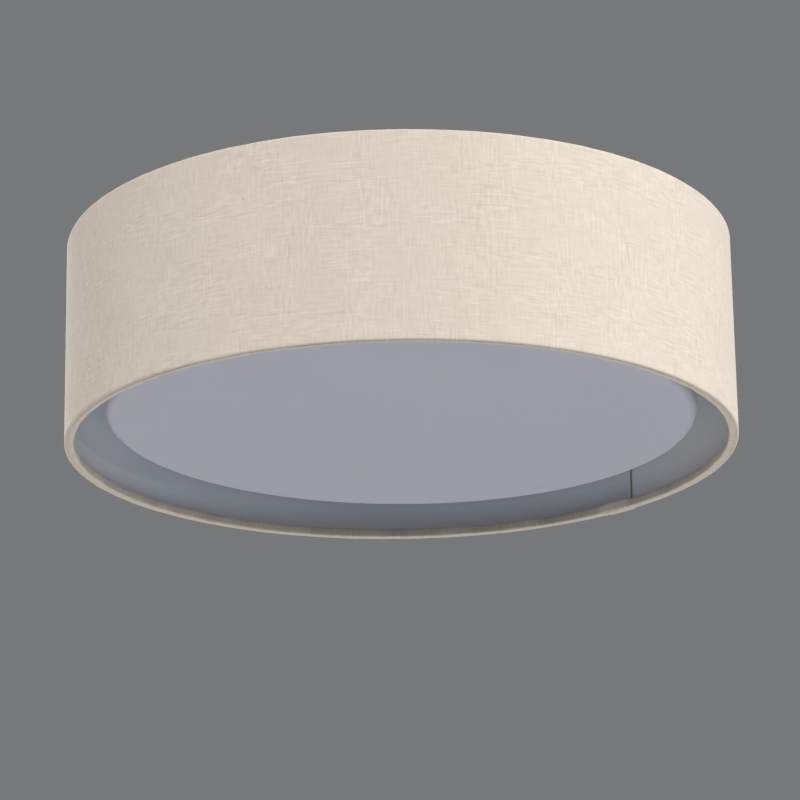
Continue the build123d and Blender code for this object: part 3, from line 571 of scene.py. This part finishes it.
# A row is (radius, height), and may go on with its shares of the knurl and of the thread
def profileMesh(rows):
    mesh = bpy.data.meshes.new("profile")
    mesh.from_pydata([(row[0], 0, row[1]) for row in rows], [(i, i + 1) for i in range(len(rows) - 1)], [])
    for place, label in ((2, "knurl"), (3, "thread")):
        mark(mesh, label, [row[place] if len(row) > place else 0.0 for row in rows])
    return mesh


# An input of the tree that the values don't name stays 0
def turned(name, rows, finish, values):
    return grow(name, turning, profileMesh(rows), values, finish)


def arcRows(centreRadius, centreHeight, radius, start, end, steps):
    rows = []
    for i in range(steps + 1):
        a = radians(start + (end - start) * i / steps)
        rows.append((centreRadius + radius * cos(a), centreHeight + radius * sin(a)))
    return rows


# Copying: a model is set on each point of the base mesh, turned as the point says
def writeCopying(r, given):
    chosen = {"Object": given.out("Model")}
    model = r.add("GeometryNodeObjectInfo", {"transform_space": "ORIGINAL"}, chosen, "Geometry")
    rotation = r.add("FunctionNodeEulerToRotation", None, {0: r.carried("turn", "FLOAT_VECTOR")})
    either = {"Min": (-1, -1, -1), "Max": (1, 1, 1), "Seed": given.out("Seed")}
    jitter = r.add("FunctionNodeRandomValue", {"data_type": "FLOAT_VECTOR"}, either)
    shaken = r.add("ShaderNodeVectorMath", {"operation": "SCALE"}, {0: jitter, "Scale": given.out("Shake")})
    spread = r.add("FunctionNodeEulerToRotation", None, {0: shaken})
    turns = {"Rotation": rotation, "Rotate By": spread}
    both = r.add("FunctionNodeRotateRotation", {"rotation_space": "LOCAL"}, turns)
    placed = {"Points": given.out("Geometry"), "Instance": model, "Rotation": both}
    placed["Scale"] = r.carried("grown", "FLOAT")
    return r.add("GeometryNodeInstanceOnPoints", None, placed)


copying = newTree("copiesOnPoints", {"Model": "Object", "Shake": "Float", "Seed": "Int"}, writeCopying)


# A spot is (place, turn, size)
def copies(name, model, spots, finish, shake=0.0, seed=1, smoothBelow=35):
    base = bpy.data.meshes.new("spots")
    base.from_pydata([spot[0] for spot in spots], [], [])
    mark(base, "turn", [x for spot in spots for x in spot[1]], "FLOAT_VECTOR", "vector")
    mark(base, "grown", [spot[2] for spot in spots])
    piece = grow(name, copying, base, {"Model": model, "Shake": shake, "Seed": seed}, finish, smoothBelow)
    bpy.data.objects.remove(model)
    return piece


def clamped(value):
    return min(max(value, 0), 1)


def onCircle(radius, turn, z=0.0):
    return radius * cos(turn), radius * sin(turn), z


# The cloth's middle surface and how it is turned in. Angles are in degrees round the drum, from the right.
shade = {
    "radius": 203.2 * mm,
    "thickness": 0.6 * mm,
    "topRing": -6.0 * mm,
    "bottomRing": -124.5 * mm,
    "ringRadius": 199.85 * mm,
    "columns": 760,
    "skinRows": 9,
    "hemDepth": 2.75 * mm,
    "hemCorner": 0.5 * mm,
    # between the folded edge and the cloth that goes round the wire: inwards, up, facing, share of the lumps
    "groove": (
        (0.80 * mm, 0.35 * mm, -80, 0.5), (1.25 * mm, 0.75 * mm, -88, 0.6), (1.80 * mm, 0.70 * mm, -92, 0.8),
        (2.45 * mm, 0.25 * mm, -92, 0.9), (3.05 * mm, 0.0, -90, 1.0),
    ),
    "foldCorner": 0.85 * mm,
    "wrapRadius": 2.35 * mm,
    "tuckAngle": 51.7,
    "waves": ((0.10, 7, 1.1, 1.0), (0.08, 23, 0.0, 0.4), (0.07, 61, 2.0, 0.0)),
    "ripple": 0.06,
    "lowest": -0.22 * mm,
    "pull": 0.10 * mm,
    # the cloth's own join, whose upper layer ends in a folded edge
    "joinFrom": 42.6,
    "joinTo": 50.2,
    "joinEase": 0.8,
    "joinStand": 1.05,
    "lapRise": 0.12,
    "lapFrom": 46.4,
    "lapFade": 2.4,
    "lapStand": 0.5 * mm,
    "nicks": (45.4, 49.1, 53.8, 57.6),
    "nickHalf": 0.30,
    "nickDepth": 0.55 * mm,
    "nickOutside": 0.35,
    "lugAngles": (90.0, 210.0, 330.0),
    "notchHalf": 7.3 * mm,
    "cut": (1.285, 0.146),
}


# Rows from hem to hem: radius, height, which way the cloth faces, its share of the hem's lumps, whether it
# lies behind the wire, and how deep in the groove it is
def clothRows():
    skin = shade["radius"] - shade["thickness"] / 2 - shade["ringRadius"]
    deep, corner = shade["hemDepth"], shade["hemCorner"]
    wrap, fold = shade["wrapRadius"], shade["foldCorner"]

    def bend(right, up, radius, facing, share, under=False):
        a = radians(facing)
        return (right + radius * cos(a), up + radius * sin(a), facing, share, under, 0.0)

    hem = [(skin, 0.0, 0, 0.0, False, 0.0), (skin, (corner - deep) * 0.5, 0, 0.1, False, 0.0)]
    hem += [bend(skin - corner, corner - deep, corner, a, 0.35) for a in (0, -30, -60, -90)]
    hem += [(skin - inward, up - deep, a, share, False, up) for inward, up, a, share in shade["groove"]]
    hem += [bend(fold - wrap, fold - deep, fold, a, 1.0) for a in (-90, -113, -135, -157, -180)]
    hem += [(-wrap, (fold - deep) * 0.5, -180, 1.0, False, 0.0)]
    last = 9
    for i in range(last + 1):
        a = -180 - (180 - shade["tuckAngle"]) * i / last
        hem.append(bend(0, 0, wrap, a, 1.0 if i < 7 else (last - i) / 3, i > 0))
    ring, low, high = shade["ringRadius"], shade["bottomRing"], shade["topRing"]
    rows = [(ring + r, high - z, -a, *rest) for r, z, a, *rest in reversed(hem)]
    for i in range(1, shade["skinRows"]):
        rows.append((ring + skin, high + (low - high) * i / shade["skinRows"], 0, 0.0, False, 0.0))
    return rows + [(ring + r, low + z, a, *rest) for r, z, a, *rest in hem]


# Angles round the drum, closer together at the join and the nicks, and one on each side of a lug's notch
def clothAngles(notch):
    angles = [360.0 * i / shade["columns"] for i in range(shade["columns"])]
    for place in (shade["joinFrom"], shade["joinTo"], *shade["nicks"]):
        angles += [place + step for step in (-0.24, -0.12, 0, 0.12, 0.24)]
    for lug in shade["lugAngles"]:
        angles += [lug - notch, lug + notch]
    kept = []
    for angle in sorted(set(round(a % 360, 3) for a in angles)):
        if not kept or angle - kept[-1] > 0.05:
            kept.append(angle)
    return kept


def atJoin(angle):
    ease = shade["joinEase"]
    return clamped((angle - shade["joinFrom"]) / ease) * clamped((shade["joinTo"] - angle) / ease)


# How far the rolled cloth stands off the wire, in metres. Side is 1 at the top and -1 at the bottom.
def hemLump(angle, side):
    a = radians(angle)
    waves = shade["waves"]
    lump = sum(high * sin(count * a + start + shift * side) for high, count, start, shift in waves)
    lump += shade["ripple"] * sin(143 * a + side) * sin(5 * a)
    lump += shade["joinStand"] * atJoin(angle) * (1 + 0.18 * sin(2.4 * angle))
    return lump * mm


# How far glue and painted shade darken the cloth where it is turned in and in the groove, and how open the
# groove is
def glueAndShadeAt(angle):
    turn = radians(angle)
    inner = 0.46 + 0.44 * sin(turn) + 0.16 * sin(11 * turn + 2) * sin(37 * turn)
    gape = min(max(0.45 - 0.9 * sin(turn), 0.15), 1)
    groove = (0.62 + 0.25 * sin(2 * turn - 1.2) + 0.13 * sin(13 * turn)) * gape
    return inner * (1 - 0.7 * atJoin(angle)), groove, gape


def makeLinen():
    rows = clothRows()
    notch = degrees(shade["notchHalf"] / shade["ringRadius"])
    angles = clothAngles(notch)
    middle = (shade["topRing"] + shade["bottomRing"]) / 2
    points, glueAndShadeMarks = [], []
    for angle in angles:
        turn = radians(angle)
        over = clamped((angle - shade["joinFrom"]) / shade["lapRise"])
        over *= 1 - clamped((angle - shade["lapFrom"]) / shade["lapFade"])
        pull = shade["pull"] * sin(9 * turn) * sin(4 * turn + 0.6)
        inner, groove, gape = glueAndShadeAt(angle)
        for radius, z, a, share, under, sunk in rows:
            # the turned-in cloth and the groove get glue and painted shade, by angle round the drum
            glueAndShadeMarks.append(groove if sunk else clamped((abs(a) - 95) / 45) * inner)
            side = 1 if z > middle else -1
            lump = share * hemLump(angle, side)
            pinch = share * (1 if under or abs(a) > 120 else shade["nickOutside"])
            for nick in shade["nicks"] if side < 0 else ():
                lump -= shade["nickDepth"] * max(0.0, 1 - abs(angle - nick) / shade["nickHalf"]) * pinch
            stand = max(lump, shade["lowest"]) + shade["lapStand"] * over * (1 - share) + sunk * (1 - gape)
            radius += stand * cos(radians(a)) + pull * (1 - share)
            z += stand * sin(radians(a))
            points.append(onCircle(radius, turn, z))
    along = [0.0]
    for here, there in zip(rows, rows[1:]):
        along.append(along[-1] + dist(here[:2], there[:2]))
    reach = 2 * pi * (shade["radius"] - shade["thickness"] / 2)
    faces, uvs = [], []
    for c, left in enumerate(angles):
        n = (c + 1) % len(angles)
        right = angles[n] if n else angles[0] + 360
        aside = [abs(((left + right) / 2 - lug + 180) % 360 - 180) for lug in shade["lugAngles"]]
        here, there = c * len(rows), n * len(rows)
        for i in range(len(rows) - 1):
            if min(aside) < notch and rows[i][4] and rows[i][1] > middle:
                continue
            faces.append((here + i, here + i + 1, there + i + 1, there + i))
            for angle, row in ((left, i), (left, i + 1), (right, i + 1), (right, i)):
                uvs += [reach * angle / 360, -along[row]]
    piece = meshObject("linenShade", points, faces, finishes["linen"], 50, uvs, {"glueAndShade": glueAndShadeMarks})
    thick = piece.modifiers.new("thickness", "SOLIDIFY")
    thick.thickness = shade["thickness"]
    thick.offset = 0.0
    thick.use_even_offset = True
    standFor(piece, "shade_fabric", "shade")
    print("linen:", len(points), "points")


# The film is one sheet, rolled a little more than once round. It starts over its own end, where it lifts.
# The painted warm light is (angle, warmth), and a hair is a margin for comparing angles.
liner = {
    "inner": 202.0 * mm,
    "sheet": 0.5 * mm,
    "low": -124.5 * mm,
    "high": -6.0 * mm,
    "seam": 43.15,
    "overlap": 12.0 * mm,
    "settles": 0.9,
    "lift": 0.68 * mm,
    "liftCurve": 1.6,
    "wave": 0.25 * mm,
    "waveFades": 4.0,
    "cutEdge": 0.10,
    "glueEdge": 0.13,
    "warmLightByAngle": (
        (0, 1.0), (25, 0.85), (40, 0.55), (43.145, 0.5), (43.15, 0.1), (90, 0.0),
        (140, 0.1), (160, 0.4), (180, 0.6), (270, 0.9), (360, 1.0),
    ),
    "hair": 0.005,
    "steps": 560,
    "rows": 26,
}


def paintedWarmLightAt(angle):
    for (a, low), (b, high) in zip(liner["warmLightByAngle"], liner["warmLightByAngle"][1:]):
        if angle <= b:
            return low + (high - low) * (angle - a) / (b - a)


def makeLiner():
    span = degrees(liner["overlap"] / liner["inner"])
    start, end = liner["seam"], liner["seam"] + 360 + span
    glueFrom, settles = start + 360 - liner["glueEdge"], liner["settles"]
    angles = [start + (end - start) * i / liner["steps"] for i in range(liner["steps"] + 1)]
    angles += [start + step for step in (0.03, liner["cutEdge"], 0.25)]
    angles += [start + span + step for step in (-0.3, 0.3, settles)]
    angles = sorted(set(angles + [glueFrom - 0.04, glueFrom]))
    tall, column = liner["rows"], 2 * (liner["rows"] + 1)
    points, faces, uvs, paintedWarmLight, cut, glueAndGapShade = [], [], [], [], [], []
    for angle in angles:
        over = liner["sheet"] * clamped((start + span + settles - angle) / settles)
        lift = liner["lift"] * clamped((start + span - angle) / span) ** liner["liftCurve"]
        inner, turn = liner["inner"] - over - lift, radians(angle)
        for i in range(tall + 1):
            z = liner["low"] + (liner["high"] - liner["low"]) * i / tall
            wave = liner["wave"] * sin(3.0 * i / tall * pi + 0.5)
            wave *= max(0, 1 - (angle - start) / liner["waveFades"])
            for radius in (inner - wave, inner - wave + liner["sheet"]):
                points.append(onCircle(radius, turn, z))
        isCut = angle < start + liner["cutEdge"] + liner["hair"] or angle > end - liner["hair"]
        # painted warm light by angle, cut edges, and glue with painted shadow under the lap
        paintedWarmLight += [paintedWarmLightAt(angle % 360)] * column
        cut += [1.0 if isCut else 0.0] * column
        glueAndGapShade += [1.0 if angle > glueFrom - liner["hair"] else 0.0] * column

    def face(*corners):
        faces.append(corners)
        for corner in corners:
            uvs.extend((radians(angles[corner // column]) * liner["inner"], points[corner][2]))

    for c in range(len(angles) - 1):
        a, b = c * column, (c + 1) * column
        for low in range(0, 2 * tall, 2):
            up = low + 2
            face(a + low, a + up, b + up, b + low)
            face(a + low + 1, b + low + 1, b + up + 1, a + up + 1)
        face(a, b, b + 1, a + 1)
        face(a + 2 * tall, a + 2 * tall + 1, b + 2 * tall + 1, b + 2 * tall)
    last = (len(angles) - 1) * column
    for low in range(0, 2 * tall, 2):
        face(low, low + 1, low + 3, low + 2)
        face(last + low, last + low + 2, last + low + 3, last + low + 1)
    marks = {"paintedWarmLight": paintedWarmLight, "cut": cut, "glueAndGapShade": glueAndGapShade}
    piece = meshObject("styreneLiner", points, faces, finishes["styrene_liner"], 40, uvs, marks)
    standFor(piece, "shade_liner", "shade")
    print("liner:", len(points), "points")


makeLiner()
makeLinen()

# The diffuser's face is moulded a little out of square: the slant lowers it towards the right
drum = {
    "radius": 179.0 * mm,
    "wall": 2.0 * mm,
    "corner": 6.0 * mm,
    "face": -112.0 * mm,
    "top": -9.0 * mm,
    "lipHeight": 3.0 * mm,
    "lipWidth": 2.0 * mm,
    "edge": 0.35 * mm,
    "slant": 0.0134,
    "steps": 320,
}


def makeDiffuser():
    radius, face, corner, wall = drum["radius"], drum["face"], drum["corner"], drum["wall"]
    top, soft = drum["top"], drum["edge"]
    inner = radius - wall
    lipInner, lipBottom = inner - drum["lipWidth"], top - drum["lipHeight"]
    flat, bendHeight = radius - corner, face + corner
    rows = [(flat * i / 8, face) for i in range(8)]
    rows += arcRows(flat, bendHeight, corner, -90, 0, 12)
    rows += [(radius, bendHeight + (top - soft - bendHeight) * i / 7) for i in range(1, 7)]
    rows += arcRows(radius - soft, top - soft, soft, 0, 90, 4)
    rows += arcRows(lipInner + soft, top - soft, soft, 90, 180, 4)
    rows += arcRows(lipInner + soft, lipBottom + soft, soft, 180, 270, 4)
    rows += [(inner, lipBottom), (inner, bendHeight)]
    rows += arcRows(flat, bendHeight, corner - wall, 0, -90, 8)[1:]
    rows += [(flat * i / 8, face + wall) for i in range(7, -1, -1)]
    piece = turned("opalDiffuser", rows, finishes["opal_acrylic"], {"Steps": drum["steps"]})
    for point in piece.data.vertices:
        point.co.z -= drum["slant"] * clamped((lipBottom - point.co.z) / (lipBottom - face)) * point.co.x
    standFor(piece, "diffuser", "diffuser_drum")
    print("diffuser:", len(piece.data.polygons), "faces")


makeDiffuser()


# Lofted through outlines that have the same count of points, and closed at both ends
def lofted(name, outlines, low, high, finish, smoothBelow=35):
    count = len(outlines[0])
    points = [point for outline in outlines for point in outline] + [low, high]
    last = (len(outlines) - 1) * count
    faces = []
    for j in range(count):
        k = (j + 1) % count
        for row in range(0, last, count):
            faces.append((row + j, row + k, row + count + k, row + count + j))
        faces += [(k, j, len(points) - 2), (last + j, last + k, len(points) - 1)]
    mesh = bpy.data.meshes.new(name)
    mesh.from_pydata(points, [], faces)
    return settle(name, closeUp(mesh), finish, smoothBelow)


# The pan's screws, the smaller ones that clamp the house wires, and where each set stands, in millimetres.
# A slot's arm is half its length, and half is half its width.
driven = {
    "pan": {
        "head": 2.8, "tall": 1.8, "shank": 1.45, "length": 5.0,
        "arm": 1.75, "half": 0.40, "deep": 1.0, "slots": 2,
    },
    "clamp": {
        "head": 1.8, "tall": 1.6, "shank": 1.25, "length": 2.3,
        "arm": 1.5, "half": 0.26, "deep": 0.8, "slots": 1,
    },
    "crown": 0.34,
    "barEnds": ((-100, 90), (-38, 127), (38, 127), (100, 90)),
    "barSeat": -27.2,
    "driver": ((-61, 83, -23.5), (61, 83, -23.5)),
    "block": ((-6, -52, -21), (6, -52, -21)),
    "clamps": tuple((x, y, -15.2) for x in (-12, 0, 12) for y in (-55.5, -48.5)),
}


# A screw stands on its seat with its head up, with one slot or two that cross
def screwModel(kind, finish):
    size = driven[kind]
    head, tall, half, arm = size["head"], size["tall"], size["half"], size["arm"]
    shank, length, deep = size["shank"], size["length"], size["deep"]
    corner = degrees(atan2(half, arm))
    stops = set(range(0, 360, 15))
    for quarter in range(0, 360, 180 // size["slots"]):
        stops |= {(quarter + corner) % 360, (quarter - corner) % 360}
    turns = [radians(a) for a in sorted(stops)]

    def slotEdge(a):
        return min(arm / max(abs(cos(a)), 1e-6), half / max(abs(sin(a)), 1e-6))

    def edge(a):
        return max(slotEdge(a), slotEdge(a + pi / 2)) if size["slots"] == 2 else slotEdge(a)

    def dome(r):
        return tall * (1 - driven["crown"] * (1 - sqrt(max(0.0, 1 - (r / head) ** 2))))

    def ring(radius, height):
        around = []
        for a in turns:
            r = radius(a) if callable(radius) else radius
            z = dome(r) if height is None else height
            around.append((r * cos(a) * mm, r * sin(a) * mm, z * mm))
        return around

    rows = [ring(shank * 0.7, -length), ring(shank, -length + 0.5), ring(shank, 0)]
    rows += [ring(head - 0.12, 0), ring(head, 0.14), ring(head, tall * 0.6)]
    rows += [ring(head - 0.06, None), ring(head * 0.93, None)]
    rows += [ring(edge, None), ring(lambda a: edge(a) * 0.88, tall - deep)]
    return lofted(kind + "ScrewModel", rows, (0, 0, -length * mm), (0, 0, (tall - deep) * mm), finish, 30)


def makeScrews():
    random.seed(31)
    metal = finishes["zinc_steel"]
    bars = [(x, y, driven["barSeat"]) for y, reach in driven["barEnds"] for x in (-reach, reach)]
    sets = (
        ("barScrews", "light_bar_screws", "pan", bars, pi),
        ("driverScrews", "driver_screws", "pan", driven["driver"], 0.0),
        ("blockScrews", "terminal_block_screws", "pan", driven["block"], 0.0),
        ("clampScrews", "terminal_screws", "clamp", driven["clamps"], 0.0),
    )
    for name, node, kind, places, tip in sets:
        spots = [(tuple(c * mm for c in place), (tip, 0.0, random.uniform(0, 3)), 1.0) for place in places]
        piece = copies(name, screwModel(kind, metal), spots, metal, smoothBelow=30)
        standFor(piece, node, "fixture")
    print("screws made")


# Each chip is a white housing round a window of yellow phosphor, in millimetres. A row is (y, count).
chip = {
    "long": 3.5, "wide": 2.8, "tall": 0.7, "rim": 0.36, "sunk": 0.10,
    "pitch": 16.5, "board": -27.2, "rows": ((-100, 11), (-38, 15), (38, 15), (100, 11)),
}


def chipOutline(inset, height, corner):
    a, b = chip["long"] / 2 - inset, chip["wide"] / 2 - inset
    right = [(a - corner, -b), (a, -b + corner), (a, b - corner), (a - corner, b)]
    left = [(-x, -y) for x, y in right]
    return [(x * mm, y * mm, height * mm) for x, y in right + left]


def makeChips():
    places = [((i - (count - 1) / 2) * chip["pitch"], y) for y, count in chip["rows"] for i in range(count)]
    spots = [((x * mm, y * mm, chip["board"] * mm), (pi, 0, 0), 1.0) for x, y in places]
    tall, rim, floor = chip["tall"], chip["rim"], chip["tall"] - chip["sunk"]
    shell = [chipOutline(0, 0, 0.1), chipOutline(0, tall - 0.08, 0.1), chipOutline(0.08, tall, 0.1)]
    shell += [chipOutline(rim, tall, 0.25), chipOutline(rim + 0.1, floor - 0.06, 0.25)]
    glow = [chipOutline(rim + 0.09, floor - 0.05, 0.25), chipOutline(rim + 0.08, floor, 0.25)]
    glow += [chipOutline(rim + 0.5, tall - 0.02, 0.2)]
    white, yellow = finishes["phosphor"], phosphorFinish()
    under, over = (0, 0, (floor - 0.05) * mm), (0, 0, (tall - 0.005) * mm)
    housing = lofted("housingModel", shell, (0, 0, 0), (0, 0, (floor - 0.06) * mm), white, 30)
    window = lofted("windowModel", glow, under, over, yellow, 60)
    for name, model, finish in (("chipHousings", housing, white), ("chipWindows", window, yellow)):
        piece = copies(name, model, spots, finish, smoothBelow=30)
        standFor(piece, "light_chips", "fixture")
    print("chips:", len(spots))


# A profile given in millimetres, with its knurl and thread
def inMetres(rows):
    return [(r * mm, z * mm, *rest) for r, z, *rest in rows]


# The clips' rivets: flat inside the pan's wall, and domed round the pin's stub outside it. The profile's
# heights are distances from the drum's centre line, in millimetres.
rivet = {
    "inside": ((0, 169.9), (2.1, 169.9), (2.4, 170.15), (2.4, 170.88), (1.5, 170.88)),
    "outside": (
        (1.5, 172.5), (2.4, 172.5), (2.38, 172.8), (2.15, 173.1), (1.7, 173.32), (1.1, 173.45),
        (0.75, 173.48), (0.62, 173.25), (0.3, 173.2), (0, 173.2),
    ),
    "height": -6.5 * mm,
    "angles": (30, 150, 270),
    "steps": 32,
}


# The nuts that hold the pan: a flange on top, a knurled band and a domed end below, in millimetres
capNut = {
    "bore": ((0, -33.5), (2.05, -33.5), (2.05, -26.4), (2.4, -26.0)),
    "shoulder": ((6.1, -26.0), (6.5, -26.4, 0.0), (6.5, -26.8, 1.0)),
    "knurled": tuple((6.5, -26.8 - 0.65 * i, 1.0) for i in range(1, 9)) + ((6.5, -32.5, 0.0),),
    "corner": (3.7, -33.2, 2.8),
    "end": ((2.4, -36.0), (1.2, -36.0), (0, -36.0)),
    "studs": (-51.5, 51.5),
    "ribs": {"Steps": 216, "Ribs": 36, "Rib depth": 0.35 * mm},
}


def makeTurnedCopies(name, node, slot, profile, values, spots):
    metal = finishes[slot]
    model = turned(name + "Model", inMetres(profile), metal, values)
    standFor(copies(name, model, spots, metal), node, "fixture")
    print(name + ":", len(spots))


def makeRivets():
    spots = [((0, 0, rivet["height"]), (0, pi / 2, radians(a)), 1.0) for a in rivet["angles"]]
    profile = rivet["inside"] + rivet["outside"]
    values = {"Steps": rivet["steps"]}
    makeTurnedCopies("clipRivets", "clip_rivets", "rivet_aluminium", profile, values, spots)


def makeCapNuts():
    across, height, radius = capNut["corner"]
    corner = tuple(arcRows(across, height, radius, 0, -90, 9))
    profile = capNut["bore"] + capNut["shoulder"] + capNut["knurled"] + corner + capNut["end"]
    spots = [((x * mm, 0, 0), (0, 0, x), 1.0) for x in capNut["studs"]]
    makeTurnedCopies("panCapNuts", "pan_cap_nuts", "nickel_nut", profile, capNut["ribs"], spots)


# Each thumb screw has a fluted head, a bare neck that holds it captive, and its thread, in millimetres
thumbScrew = {
    "tip": (
        (0, -24.4), (1.6, -24.4), (3.3, -24.4), (3.6, -24.7), (3.75, -24.75), (5.0, -24.75),
        (5.5, -24.25), (6.0, -23.75, 0.7),
    ),
    "fluted": tuple((6.0, -23.4 + 0.94 * i, 1.0) for i in range(13)),
    "neck": (
        (6.0, -11.75, 0.7), (5.5, -11.25), (5.0, -10.75), (3.0, -10.75), (1.45, -10.75), (1.45, -8.0),
        (1.45, -4.6), (1.7, -4.5, 0.0, 0.0),
    ),
    "threaded": tuple((2.0, -4.4 + 0.07 * i, 0.0, min(1.0, i / 6)) for i in range(39)),
    "end": ((1.55, -1.5), (0.8, -1.5), (0, -1.5)),
    "circle": 189 * mm,
    "angles": (90, 210, 330),
    "cut": {"Steps": 192, "Ribs": 24, "Rib depth": 0.45 * mm, "Pitch": 0.7 * mm, "Thread depth": 0.42 * mm},
}


def makeThumbScrews():
    parts = ("tip", "fluted", "neck", "threaded", "end")
    profile = inMetres(row for part in parts for row in thumbScrew[part])
    for number, angle in enumerate(thumbScrew["angles"], 1):
        values = {**thumbScrew["cut"], "Stand": onCircle(thumbScrew["circle"], radians(angle))}
        piece = turned(f"thumbScrew{number}", profile, finishes["nickel_screw"], values)
        standFor(piece, f"thumb_screw_{number}", f"screw_{number}")
    print("thumb screws made")


# Loose fibres: a third gather at the front of the top rim, where the raw edge was rubbed, as (angle, spread).
# The bend and the thickness are shares of a fibre's length.
fibres = {
    "count": 150,
    "atFront": 46,
    "gather": (273, 7),
    "bend": ((0, 0), (0.10, 0.35), (0.28, 0.62), (0.55, 0.80), (0.86, 0.84)),
    "thick": 0.022,
    "size": (0.9 * mm, 2.6 * mm),
    "topStand": (1.6 * mm, 2.9 * mm),
    "skinStand": 2.9 * mm,
    "shake": 0.35,
}


def makeFibres():
    random.seed(12)
    outlines = []
    for i, (x, z) in enumerate(fibres["bend"]):
        r = fibres["thick"] * (1 - 0.2 * i)
        ring = [(r * cos(a), r * sin(a)) for a in (0.3, 2.4, 4.5)]
        outlines.append([(x + across, y, z - across * 0.6) for across, y in ring])
    hair = lofted("fibreModel", outlines, (0, 0, 0), (0.88, 0, 0.84), finishes["linen"], 80)
    low, high, (out, up) = shade["bottomRing"], shade["topRing"], fibres["topStand"]
    spots = []
    for i in range(fibres["count"]):
        front = i < fibres["atFront"]
        angle = radians(random.gauss(*fibres["gather"]) if front else random.uniform(0, 360))
        top = front or random.random() < 0.5
        reach = shade["ringRadius"] + (out if top else fibres["skinStand"])
        place = onCircle(reach, angle, high + up if top else random.uniform(low, high))
        lean = random.uniform(-0.5, 0.5)
        tilt = (lean, random.uniform(0.2, 1.3) if top else 1.4, angle + random.uniform(-0.9, 0.9))
        spots.append((place, tilt, random.uniform(*fibres["size"])))
    piece = copies("linenFibres", hair, spots, finishes["linen"], fibres["shake"], 5, 80)
    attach(piece, "shade")
    print("fibres:", len(spots))


makeScrews()
makeChips()
makeRivets()
makeCapNuts()
makeThumbScrews()
makeFibres()

# The light from everywhere, the lamps on top of it as (place, watts), and the ground
studio = {
    "backdrop": (0.185, 0.188, 0.196),
    "level": 0.73,
    "softbox": 1.8,
    "target": (0, 0, -0.08),
    "floorHeight": -3.4,
    "floorSize": 60.0,
    "floorColour": (0.66, 0.66, 0.65),
    "floorBounce": 0.15,
    "floorFades": (4.0, 11.0),
    "lamps": {
        "right": ((3.7, -0.3, 0.4), 59),
        "front": ((0.2, -3.2, 2.0), 64),
        "back": ((-1.6, 3.3, 0.5), 80),
        "floor": ((0.0, 0.3, -3.1), 23.5),
        "lowLeft": ((-1.9, 0.0, -2.6), 10),
        "lowRight": ((1.9, 0.0, -2.6), 13),
        "lowFront": ((0.0, -3.4, -1.4), 7.7),
    },
}


# What a camera, a mirror or a lens sees of the room is its colour alone
def looked(recipe):
    path = recipe.add("ShaderNodeLightPath")
    seen = recipe.maths("MAXIMUM", path.out("Is Camera Ray"), path.out("Is Glossy Ray"))
    return recipe.maths("MAXIMUM", seen, path.out("Is Transmission Ray"))


def makeFloor():
    f = Finish("floorPaper")
    far = f.add("ShaderNodeVectorMath", {"operation": "LENGTH"}, {0: f.own()}, "Value")
    distant = tuple(c / 1.05 for c in studio["backdrop"])
    shown = f.blend(far.eased(*studio["floorFades"]), studio["floorColour"], distant)
    dim, size = studio["floorBounce"], studio["floorSize"]
    colour = f.blend(looked(f), (dim, dim, dim * 1.05), shown)
    paper = f.wear({"Base Color": colour, "Roughness": 1.0, "Specular IOR Level": 0.0})
    corners = ((-size, -size), (size, -size), (size, size), (-size, size))
    points = [(x, y, studio["floorHeight"]) for x, y in corners]
    meshObject("floor", points, [(0, 1, 2, 3)], paper)


def makeWorld():
    world = bpy.data.worlds.new("studio")
    world.use_nodes = True
    scene.world = world
    w = Recipe(world.node_tree)
    level = studio["level"]
    colour = w.blend(looked(w), (level, level, level), studio["backdrop"])
    w.fill(world.node_tree.nodes["Background"], {"Color": colour})


# Each softbox faces the light, and isn't seen itself
def makeLamp(name, place, watts):
    data = bpy.data.lights.new(name, "AREA")
    data.shape, data.size, data.energy = "SQUARE", studio["softbox"], watts
    lamp = linked(name, data)
    towards = Vector(studio["target"]) - Vector(place)
    lamp.matrix_world = Matrix.Translation(place) @ towards.to_track_quat("-Z", "Y").to_matrix().to_4x4()
    lamp.visible_camera = False


makeFloor()
makeWorld()
for name, (place, watts) in studio["lamps"].items():
    makeLamp(name + "Softbox", place, watts)
print("stage set")
